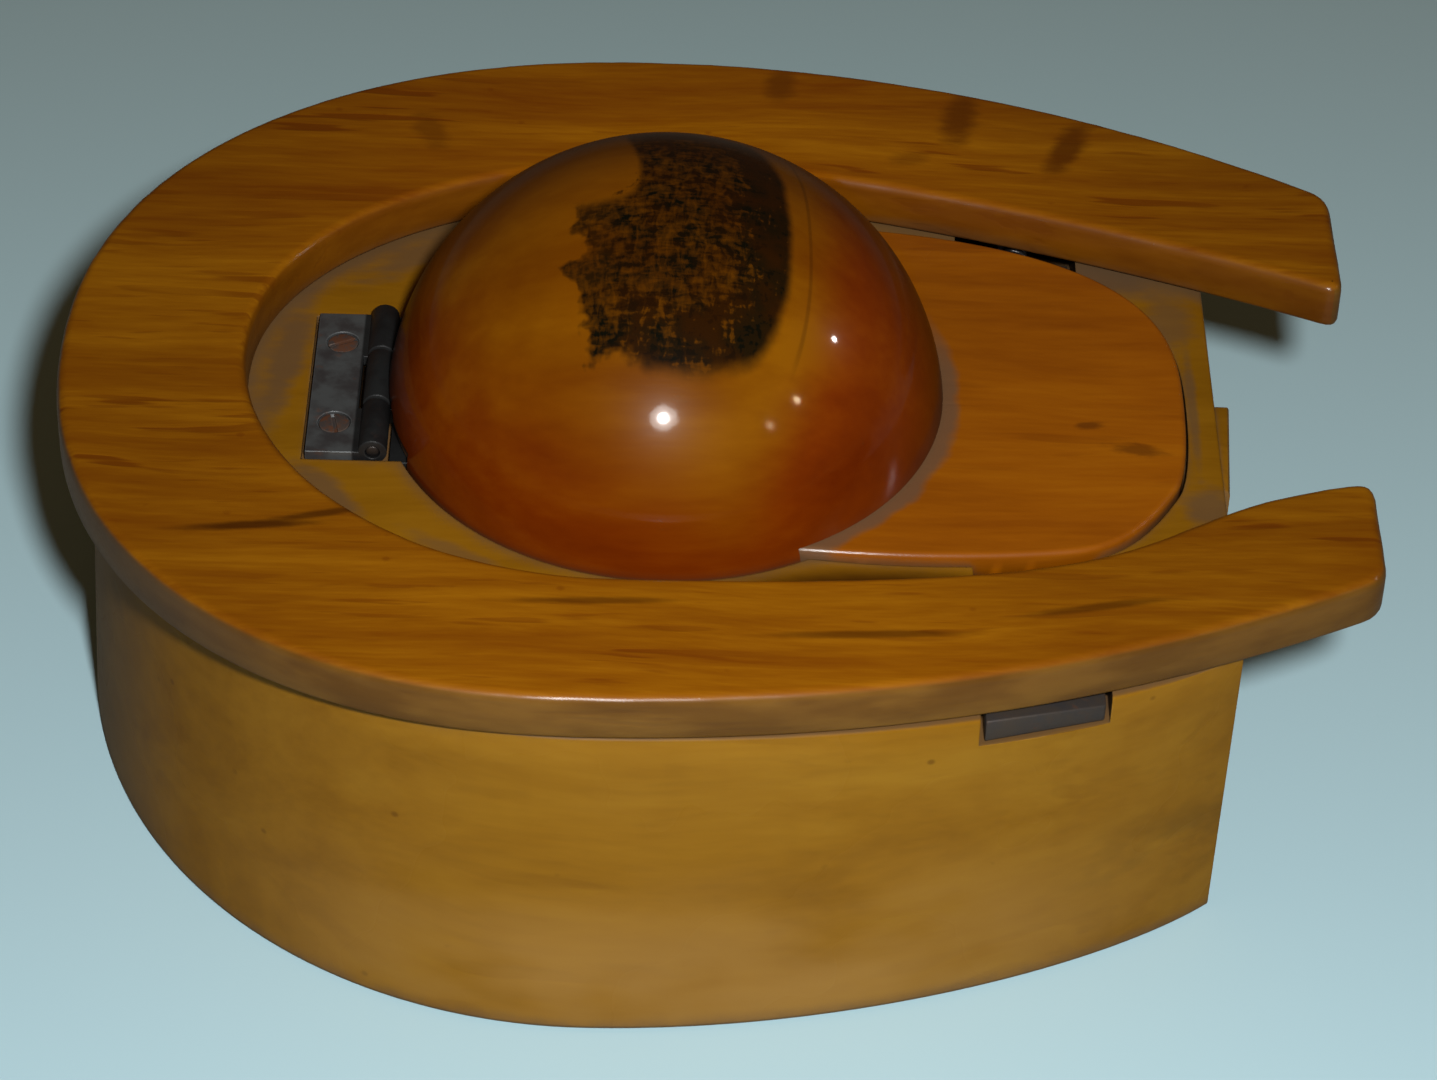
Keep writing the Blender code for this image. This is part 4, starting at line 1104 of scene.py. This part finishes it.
box = new_object("box_shell", loft(body_rings()), 40)
lip_top = BODY_TOP - 0.5
boolean(
    box,
    [
        (
            loft(
                [
                    [
                        (x, y, z)
                        for x, y in offset(
                            [(BODY_END_X - 2, -8.8), (BODY_END_X + 0.5, -8.8), (BODY_END_X + 1.2, 1.2), (BODY_END_X - 2, 1.2)],
                            -k,
                        )
                    ]
                    for k, z in ((0.5, 12.0), (0.0, 12.6), (0.0, lip_top - 0.5), (0.15, lip_top - 0.15), (0.5, lip_top))
                ]
            ),
            "UNION",
        ),
        (lathe([(0, WELL_FLOOR), (WELL_RADIUS - 0.8, WELL_FLOOR), (WELL_RADIUS, WELL_FLOOR + 0.8), (WELL_RADIUS, 31), (0, 31)], (CAP_X, 0), 128), "DIFFERENCE"),
        (prism(seat_outline(0.22), RECESS_FLOOR, 31), "DIFFERENCE"),
        (block((LATCH_X - CHANNEL_HALF, BAR_STEP_Y - 0.4, CHANNEL_FLOOR), (LATCH_X + CHANNEL_HALF, CHANNEL_FAR_Y, 31)), "DIFFERENCE"),
        (block((LATCH_X - CHANNEL_HALF, -45, BAR_TAB_BOTTOM - 0.25), (LATCH_X + CHANNEL_HALF, BAR_STEP_Y + 1, 31)), "DIFFERENCE"),
        (block((LEAF_EDGE_X - 0.3, -HINGE_HALF - 0.3, 25.4), (-25.0, HINGE_HALF + 0.3, 31)), "DIFFERENCE"),
        (block((HINGE_X - 1.4, -HINGE_HALF - 0.3, 24.6), (-19.8, HINGE_HALF + 0.3, 31)), "DIFFERENCE"),
        (block((LATCH_X - 2.1, -2.3, 20.8), (LATCH_X + 2.1, 3.0, CHANNEL_FLOOR + 1)), "DIFFERENCE"),
        (lathe([(0, 19.9), (0.92, 19.9), (0.92, 24), (0, 24)], (LATCH_X, -14.0), 32), "DIFFERENCE"),
    ],
    40,
)
BASE_SCREWS = [(mid(f"hinge_base_screw_{i}", 0), mid(f"hinge_base_screw_{i}", 1)) for i in (1, 2)]
CAP_SCREWS = [(mid(f"hinge_cap_screw_{i}", 0), mid(f"hinge_cap_screw_{i}", 1)) for i in (1, 2)]
HOOK_SCREWS = [(mid(f"latch_hook_screw_{i}", 0), mid(f"latch_hook_screw_{i}", 1)) for i in (1, 2)]


def hole_tool(x, y, head_z, reach, shank, head, up=False, gap=0.12):
    sign = 1 if up else -1
    depth = head - shank
    return lathe(
        [
            (0, head_z - sign * 0.8),
            (head + gap, head_z - sign * 0.8),
            (head + gap, head_z + sign * (0.12 + gap)),
            (shank + gap, head_z + sign * (0.12 + gap + depth)),
            (shank + gap, head_z + sign * (reach + gap)),
            (0, head_z + sign * (reach + gap)),
        ],
        (x, y),
        32,
    )


boolean(box, [(hole_tool(x, y, HINGE_Z - 0.05, 6.0, 0.55, 1.1), "DIFFERENCE") for x, y in BASE_SCREWS], 40)
dress(box, BODY_WOOD, "box", "box_wood", "body")

# ------------------------------------------------------------------ horseshoe plate
# The plate is sawn and filed by hand, so its arris wavers by a tenth of a millimetre.
height = RIM_TOP - RIM_BOTTOM
plate_layers = [(0.30, RIM_BOTTOM), (0.10, RIM_BOTTOM + 0.08), (0.0, RIM_BOTTOM + 0.3), (0.0, RIM_BOTTOM + 0.5 * height)]
ARRIS = 0.8
for k in range(0, 8):
    a = math.pi / 2 * k / 7
    plate_layers.append((ARRIS * (1 - math.cos(a)), RIM_TOP - ARRIS * (1 - math.sin(a))))
rings = []
for index, (inset, z) in enumerate(plate_layers):
    ring = []
    base = offset(rim_outline, -inset - 0.02)
    for (x, y), (ox, oy) in zip(base, rim_outline):
        waver = noise.noise(Vector((ox * 0.16, oy * 0.16, 3.0))) * 0.10 + noise.noise(Vector((ox * 0.55, oy * 0.55, 9.0))) * 0.05
        share = 0.0 if index < 4 else min(1.0, (index - 3) / 3)
        dx, dy = x - ox, y - oy
        length = math.hypot(dx, dy) or 1.0
        move = abs(waver) * share
        ring.append((x + dx / length * move, y + dy / length * move, z - 0.0))
    rings.append(ring)


def close_caps(bm, count):
    """Closes both ends of a horseshoe loft with well shaped triangles inside its outline."""
    bm.verts.ensure_lookup_table()
    total = len(bm.verts)
    for base in (0, total - count):
        flat = [Vector((bm.verts[base + i].co.x, bm.verts[base + i].co.y)) for i in range(count)]
        span = max(abs(c) for q in flat for c in q)
        flat = [q / span for q in flat]
        made, _, faces, origin, _, _ = delaunay_2d_cdt(flat, [], [list(range(count))], 1, 1e-7)

        def source(k):
            if origin[k]:
                return origin[k][0]
            return min(range(count), key=lambda i: (flat[i] - made[k]).length)

        for face in faces:
            corners = [source(k) for k in face]
            if len(set(corners)) == 3:
                try:
                    bm.faces.new([bm.verts[base + i] for i in corners])
                except ValueError:
                    pass
    bmesh.ops.holes_fill(bm, edges=[e for e in bm.edges if e.is_boundary], sides=6)
    return bm


plate = new_object("horseshoe_rim", close_caps(loft(rings, False), len(rim_outline)), 45)
dress(plate, PLATE_WOOD, "box", "plate_wood", "horseshoe_plate")


# ------------------------------------------------------------------ cap
def arc(radius, z_from, steps):
    start = math.asin((z_from - DOME_Z) / radius)
    return [
        (
            radius * math.cos(start + (math.pi / 2 - start) * i / steps) if i < steps else 0,
            DOME_Z + radius * math.sin(start + (math.pi / 2 - start) * i / steps),
        )
        for i in range(steps + 1)
    ]


foot_z = SKIRT_BOTTOM + 0.25
outer = list(reversed(arc(DOME_RADIUS - 0.005, foot_z, 60)))
foot_r = math.sqrt(DOME_RADIUS**2 - (foot_z - DOME_Z) ** 2)
outer += [(foot_r - 0.02, SKIRT_BOTTOM + 0.10), (foot_r - 0.12, SKIRT_BOTTOM + 0.02), (foot_r - 0.25, SKIRT_BOTTOM)]
inner_arc = arc(HOLLOW_RADIUS, SKIRT_BOTTOM, 34)
dome = new_object("dome_shell", lathe(outer + [(inner_arc[0][0] + 0.2, SKIRT_BOTTOM)] + inner_arc[1:], (CAP_X, 0), 160), 50)
hinge_room = lambda: rod_y(HINGE_X, HINGE_Z, 1.4, -HINGE_HALF - 0.3, HINGE_HALF + 0.3, 48)
boolean(
    dome,
    [
        (prism(offset(board_outline(), 0.08), 20, BOARD_TOP + 0.03), "DIFFERENCE"),
        (block((-26.0, -HINGE_GAP_HALF, 20), (-19.0, HINGE_GAP_HALF, BOARD_TOP + 0.1)), "DIFFERENCE"),
        (hinge_room(), "DIFFERENCE"),
        (lathe([(0, 38), (1.0, 38), (1.0, 42.6), (0, 42.6)], (CAP_X, 0), 32), "DIFFERENCE"),
    ]
    + [(hole_tool(x, y, BOARD_BOTTOM + 0.05, 4.6, 0.5, 0.95, True), "DIFFERENCE") for x, y in CAP_SCREWS],
    50,
)
dress(dome, DOME_WOOD, "lid", "cap_wood", "cap_dome")

board_layers = [(0.12, BOARD_BOTTOM), (0.0, BOARD_BOTTOM + 0.12), (0.0, BOARD_TOP - 0.45)]
for k in range(1, 7):
    a = math.pi / 2 * k / 6
    board_layers.append((0.45 * (1 - math.cos(a)), BOARD_TOP - 0.45 * (1 - math.sin(a))))
cap_line = board_outline()
board = new_object("cap_peak_board", loft([[(x, y, z) for x, y in offset(cap_line, -i)] for i, z in board_layers]), 45)
boolean(
    board,
    [
        (lathe([(0, 20), (HOLLOW_RADIUS, 20), (HOLLOW_RADIUS, 28), (0, 28)], (CAP_X, 0), 128), "DIFFERENCE"),
        (block((-26.0, -HINGE_HALF - 0.3, 20), (-19.9, HINGE_HALF + 0.3, 25.9)), "DIFFERENCE"),
        (hinge_room(), "DIFFERENCE"),
        (block((LATCH_X - 3.1, -5.8, 20), (LATCH_X + 3.1, 5.8, 25.9)), "DIFFERENCE"),
        (block((-25.0, -KNUCKLE_SPLIT - 0.15, 24), (-22.3, KNUCKLE_SPLIT + 0.15, 26.5)), "DIFFERENCE"),
    ]
    + [(hole_tool(x, y, BOARD_BOTTOM + 0.05, 4.6, 0.5, 0.95, True), "DIFFERENCE") for x, y in CAP_SCREWS]
    + [(hole_tool(x, y, BOARD_BOTTOM + 0.05, 1.7, 0.45, 0.8, True, 0.1), "DIFFERENCE") for x, y in HOOK_SCREWS],
    45,
)
dress(board, BOARD_WOOD, "lid", "board_wood", "cap_board")

# ------------------------------------------------------------------ glass insert
bottom = low("ink_insert", 2)
mouth = high("ink_insert", 2)
profile = [
    (0, bottom + 0.5),
    (11.0, bottom + 0.35),
    (13.5, bottom),
    (15.8, bottom),
    (17.0, bottom + 1.2),
    (17.0, 21.2),
    (15.6, 23.2),
    (13.0, 24.2),
    (10.1, 24.7),
    (9.5, 25.6),
    (9.5, mouth - 0.5),
    (9.0, mouth),
    (6.5, mouth),
    (6.0, mouth - 0.5),
    (6.0, 25.2),
    (7.5, 22.6),
    (13.0, 20.2),
    (14.0, 18.2),
    (14.0, 9.5),
    (11.0, 7.6),
    (0, 7.2),
]
insert = new_object("glass_insert", lathe(rounded(profile, 0.9, 5), (CAP_X, 0), 128), 60)
dress(insert, GLASS, "box", "insert_glass", "ink_insert")

# ------------------------------------------------------------------ stopper
boss_profile = [(1.05, 32.3), (7.2, 32.3), (7.2, 33.8), (5.2, 34.6), (4.8, 36.5), (5.4, 39.6), (1.05, 39.6)]
boss = new_object("stopper_boss", lathe(rounded(boss_profile, 0.4, 4, True), (CAP_X, 0), 96, True), 50)
dress(boss, BOSS_WOOD, "lid", "boss_wood", "seal_boss")
pad_bm = lathe(
    rounded([(1.05, 30.5), (7.9, 30.5), (8.0, 31.0), (8.0, 31.6), (7.9, 32.0), (1.05, 32.0)], 0.35, 5, True),
    (CAP_X, 0),
    96,
    True,
)
pad = new_object("stopper_pad", pad_bm, 60)
boolean(pad, [(lathe([(0, 29), (2.5, 29), (2.5, 30.55), (1.0, 32.3), (0, 32.3)], (CAP_X, 0), 48), "DIFFERENCE")], 60)
dress(pad, LEATHER, "lid", "pad_leather", "seal_pad")


# ------------------------------------------------------------------ screws
def screw(name, x, y, head_z, reach, shank, head, up, material, body, slot, node, flat=0.0, turn=0.0):
    """Countersunk screw with a sawn slot, a slightly domed head and a thread cut in its shank."""
    sign = 1 if up else -1
    depth = head - shank
    threads = max(3, int((reach - 0.5 - depth) / 0.55))
    profile = [(0, head_z), (head * 0.86, head_z + sign * 0.01), (head, head_z + sign * 0.06), (head, head_z + sign * (0.12 + flat))]
    start = 0.12 + flat + depth
    profile.append((shank, head_z + sign * start))
    pitch = (reach - 1.2 * shank - start) / threads
    for k in range(threads):
        a = start + pitch * (k + 0.25)
        profile += [
            (shank * 0.82, head_z + sign * (a + 0.1 * pitch)),
            (shank, head_z + sign * (a + 0.42 * pitch)),
            (shank * 0.82, head_z + sign * (a + 0.74 * pitch)),
        ]
    profile += [(0.15 * shank, head_z + sign * reach), (0, head_z + sign * reach)]
    made = new_object(name, lathe(profile, (x, y), 40), 40)
    z0, z1 = sorted((head_z - sign * 0.5, head_z + sign * 0.28))
    slot_bm = block((-0.14, -2 * head, z0), (0.14, 2 * head, z1))
    for vert in slot_bm.verts:
        c, d = math.cos(math.radians(turn)), math.sin(math.radians(turn))
        vx, vy = vert.co.x, vert.co.y
        vert.co.x, vert.co.y = x + c * vx - d * vy, y + d * vx + c * vy
    boolean(made, [(slot_bm, "DIFFERENCE")], 40)
    return dress(made, material, body, slot, node)


for i, (x, y) in enumerate(BASE_SCREWS):
    screw(f"base_screw_{i + 1}", x, y, HINGE_Z - 0.05, 6.0, 0.55, 1.1, False, SCREW_STEEL, "box", "screw_steel", f"hinge_base_screw_{i + 1}", turn=(12, -64)[i])
for i, (x, y) in enumerate(CAP_SCREWS):
    screw(f"cap_screw_{i + 1}", x, y, BOARD_BOTTOM + 0.05, 4.6, 0.5, 0.95, True, SCREW_STEEL, "lid", "screw_steel", f"hinge_cap_screw_{i + 1}", turn=(35, 80)[i])
for i, (x, y) in enumerate(HOOK_SCREWS):
    screw(f"hook_screw_{i + 1}", x, y, BOARD_BOTTOM + 0.05, 1.75, 0.45, 0.8, True, SCREW_STEEL, "lid", "screw_steel", f"latch_hook_screw_{i + 1}", turn=(-20, 50)[i])
screw("stopper_screw", CAP_X, 0, 29.9, 12.4, 0.85, 2.2, True, BRASS, "lid", "screw_brass", "seal_screw", flat=0.05, turn=25)

# ------------------------------------------------------------------ hinge
KNUCKLE_BORE = 0.56
leaf = new_object("base_leaf", block((LEAF_EDGE_X, -HINGE_HALF, 25.7), (HINGE_X - 1.35, HINGE_HALF, HINGE_Z)))
spans = ((-HINGE_HALF, -KNUCKLE_SPLIT - 0.15), (KNUCKLE_SPLIT + 0.15, HINGE_HALF))
joined = []
for y0, y1 in spans:
    joined.append((block((HINGE_X - 1.6, y0, 25.7), (HINGE_X - 0.2, y1, HINGE_Z)), "UNION"))
    joined.append((rod_y(HINGE_X, HINGE_Z, KNUCKLE_RADIUS, y0, y1, 48, 0.1), "UNION"))
joined.append((rod_y(HINGE_X, HINGE_Z, KNUCKLE_BORE, -9, 9, 48), "DIFFERENCE"))
joined += [(hole_tool(x, y, HINGE_Z - 0.05, 6.0, 0.55, 1.1), "DIFFERENCE") for x, y in BASE_SCREWS]
boolean(leaf, joined, 35)
dress(leaf, HINGE_STEEL, "box", "hinge_steel", "hinge_base_leaf")

cap_leaf = new_object("cap_leaf", block((-23.2, -HINGE_HALF, BOARD_BOTTOM), (-20.2, HINGE_HALF, 25.6)))
boolean(
    cap_leaf,
    [
        (block((-24.1, -KNUCKLE_SPLIT + 0.15, BOARD_BOTTOM), (-22.6, KNUCKLE_SPLIT - 0.15, 26.2)), "UNION"),
        (rod_y(HINGE_X, HINGE_Z, KNUCKLE_RADIUS, -KNUCKLE_SPLIT + 0.15, KNUCKLE_SPLIT - 0.15, 48, 0.1), "UNION"),
        (rod_y(HINGE_X, HINGE_Z, KNUCKLE_BORE, -9, 9, 48), "DIFFERENCE"),
    ]
    + [(hole_tool(x, y, BOARD_BOTTOM + 0.05, 4.6, 0.5, 0.95, True), "DIFFERENCE") for x, y in CAP_SCREWS],
    35,
)
dress(cap_leaf, HINGE_STEEL, "lid", "hinge_steel", "hinge_cap_leaf")
pin = new_object("pin_wire", rod_y(HINGE_X, HINGE_Z, PIN_RADIUS, -HINGE_HALF + 0.1, HINGE_HALF - 0.1, 40, 0.12), 50)
dress(pin, PIN_STEEL, "box", "pin_steel", "hinge_pin")


# ------------------------------------------------------------------ latch
def wall_y(x, z):
    widths = []
    for line in (bottom_side, top_side):
        for (x0, y0), (x1, y1) in zip(line, line[1:]):
            if x0 <= x <= x1:
                widths.append(y0 + (y1 - y0) * (x - x0) / (x1 - x0))
                break
    return widths[0] + (widths[1] - widths[0]) * z / BODY_TOP


b0, b1 = LATCH_X - BAR_HALF, LATCH_X + BAR_HALF
bar = new_object("push_bar", block((b0, BAR_STEP_Y, BAR_BOTTOM), (b1, BAR_FAR_Y, BAR_TOP)))
boolean(
    bar,
    [
        (
            loft(
                [
                    [
                        (b0, -wall_y(b0, t[0]) + 0.1, t[0]),
                        (b1, -wall_y(b1, t[1]) + 0.1, t[1]),
                        (b1, BAR_STEP_Y + 1.6, t[1]),
                        (b0, BAR_STEP_Y + 1.6, t[0]),
                    ]
                    for t in ((BAR_TAB_BOTTOM, BAR_TAB_BOTTOM), BAR_TAB_TOP)
                ]
            ),
            "UNION",
        ),
        (block((LATCH_X - 1.9, -3.4, 20), (LATCH_X + 1.9, 1.75, 27)), "DIFFERENCE"),
        (block((LATCH_X - 1.1, -17.45, 20), (LATCH_X + 1.1, -13.05, 27)), "DIFFERENCE"),
    ],
)
soften(bar, 0.12)
dress(bar, BAR_STEEL, "latch", "bar_steel", "latch_bar")
stop = new_object(
    "stop_peg",
    lathe(rounded([(0, 20.2), (0.5, 20.2), (0.8, 20.6), (0.8, 24.2), (0.6, 24.45), (0, 24.45)], 0.12, 3), (LATCH_X, -14.0), 40),
    50,
)
dress(stop, PIN_STEEL, "box", "pin_steel", "latch_stop_pin")
hook = new_object("lid_hook", block((LATCH_X - 2.8, -5.5, BOARD_BOTTOM), (LATCH_X + 2.8, 5.5, 25.6)))
boolean(
    hook,
    [
        (block((LATCH_X - 1.0, -0.5, 21.3), (LATCH_X + 1.0, 0.5, 25.3)), "UNION"),
        (block((LATCH_X - 1.0, -0.2, 21.3), (LATCH_X + 1.0, 1.5, 22.9)), "UNION"),
    ]
    + [(hole_tool(x, y, BOARD_BOTTOM + 0.05, 1.7, 0.45, 0.8, True, 0.1), "DIFFERENCE") for x, y in HOOK_SCREWS],
)
dress(hook, BAR_STEEL, "lid", "bar_steel", "latch_hook")


def coil(start, end, x, z, mean, wire, turns, per_turn=36, sides=12):
    bm = bmesh.new()
    rings = []
    total = turns * per_turn
    for i in range(total + 1):
        a = 2 * math.pi * i / per_turn
        y = start + (end - start) * i / total
        out = (math.cos(a), math.sin(a))
        rings.append(
            [
                bm.verts.new(
                    (
                        x + (mean + wire * math.cos(2 * math.pi * k / sides)) * out[0],
                        y + wire * math.sin(2 * math.pi * k / sides),
                        z + (mean + wire * math.cos(2 * math.pi * k / sides)) * out[1],
                    )
                )
                for k in range(sides)
            ]
        )
    for a, b in zip(rings, rings[1:]):
        for k in range(sides):
            m = (k + 1) % sides
            bm.faces.new((a[k], a[m], b[m], b[k]))
    bm.faces.new(rings[0])
    bm.faces.new(rings[-1])
    return bm


spring_start, spring_end = low("latch_spring", 1) + 0.2, high("latch_spring", 1) - 0.2
spring = new_object("push_spring", coil(spring_start, spring_end, LATCH_X, BAR_BOTTOM + 1.1, 0.95, 0.2, 10), 60)
spring.data.materials.append(SPRING_STEEL)
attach(spring, "box")
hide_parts("latch_spring")
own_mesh(spring)

# ------------------------------------------------------------------ stage
floor_mesh = bpy.data.meshes.new("floor")
floor_bm = bmesh.new()
bmesh.ops.create_grid(floor_bm, x_segments=1, y_segments=1, size=1.6)
floor_bm.to_mesh(floor_mesh)
floor_bm.free()
floor = bpy.data.objects.new("floor", floor_mesh)
floor.location = (0, 0, -0.0001)
scene.collection.objects.link(floor)
f = Shade("floor_pale")
cloud = f.noise(f.mm((0.004, 0.004, 0.004)), 1.0, 2.0)
paper = f.mix(cloud, (0.548, 0.83, 0.95), (0.572, 0.86, 0.98))
away = f.split(f.mm())[1]
# painted shade: the floor darkens away from the camera in place of the light's falloff
falloff_shade = f.mix(f.step(away, -140, 150, smooth=False), paper, (0.287, 0.368, 0.362))
# painted reflection: in reflections the floor shows dark brown in place of its pale colour
mirrored = f.tree.nodes.new("ShaderNodeLightPath").outputs["Is Glossy Ray"]
f.set(colour=f.mix(mirrored, falloff_shade, (0.23, 0.21, 0.17)), rough=0.5, specular=0.2)
floor_mesh.materials.append(f.material)

CAMERA = Vector((-3.66, -263.34, 239.86)) * MM
FORWARD = Vector((0.0136992, 0.7560568, -0.6543626))
ROLL = 0.037
right = FORWARD.cross(Vector((0, 0, 1))).normalized()
up = right.cross(FORWARD)
r2 = math.cos(ROLL) * right + math.sin(ROLL) * up
u2 = -math.sin(ROLL) * right + math.cos(ROLL) * up
cam_data = bpy.data.cameras.new("camera")
cam_data.sensor_fit = "HORIZONTAL"
cam_data.sensor_width = 36.0
cam_data.lens = 36.0 * 4576 / 1437
cam_data.clip_start = 0.01
cam = bpy.data.objects.new("camera", cam_data)
scene.collection.objects.link(cam)
from mathutils import Matrix

basis = Matrix((r2, u2, -FORWARD)).transposed()
cam.matrix_world = Matrix.Translation(CAMERA) @ basis.to_4x4()
scene.camera = cam


def area(name, at, target, size, power, colour=(1, 1, 1), only=None):
    """A round lamp. only limits it to "shade" (diffuse light and shadows) or "glint" (reflections)."""
    data = bpy.data.lights.new(name, "AREA")
    data.shape = "DISK"
    data.energy = power
    data.color = colour
    data.size = size * MM
    obj = bpy.data.objects.new(name, data)
    obj.location = Vector(at) * MM
    obj.rotation_euler = (Vector(target) - Vector(at)).to_track_quat("-Z", "Y").to_euler()
    obj.visible_glossy = only != "shade"
    obj.visible_diffuse = only != "glint"
    scene.collection.objects.link(obj)
    return obj


area("flash", (27, -266, 272), (0, -10, 10), 26, 1.47, (0.985, 0.99, 0.985), "shade")
area("flash_glint", (-8, -263, 219), (0, 0, 30), 10, 0.6, (1.0, 0.985, 0.97), "glint")
area("flash_bowl", (-8, -265, 219), (0, 0, 30), 60, 0.12, (1.0, 0.97, 0.94), "glint")
area("lamp_right", (620, 80, 330), (8, -4, 40), 22, 0.20, (1.0, 0.93, 0.86), "glint")
area("lamp_front_right", (470, -235, 280), (8, -4, 40), 15, 0.07, (1.0, 0.78, 0.5), "glint")
area("lamp_front", (380, -350, 260), (8, -4, 40), 10, 0.035, (1.0, 0.78, 0.5), "glint")

world = bpy.data.worlds.new("studio")
scene.world = world
world.use_nodes = True
sky = world.node_tree
background = sky.nodes["Background"]
path = sky.nodes.new("ShaderNodeLightPath")
share = sky.nodes.new("ShaderNodeMix")
share.data_type = "RGBA"
share.inputs[6].default_value = (0.060, 0.036, 0.016, 1.0)
share.inputs[7].default_value = (0.016, 0.015, 0.013, 1.0)
sky.links.new(path.outputs["Is Glossy Ray"], share.inputs[0])
sky.links.new(share.outputs[2], background.inputs[0])
background.inputs[1].default_value = 1.0

scene.view_settings.view_transform = "Standard"
scene.view_settings.look = "None"
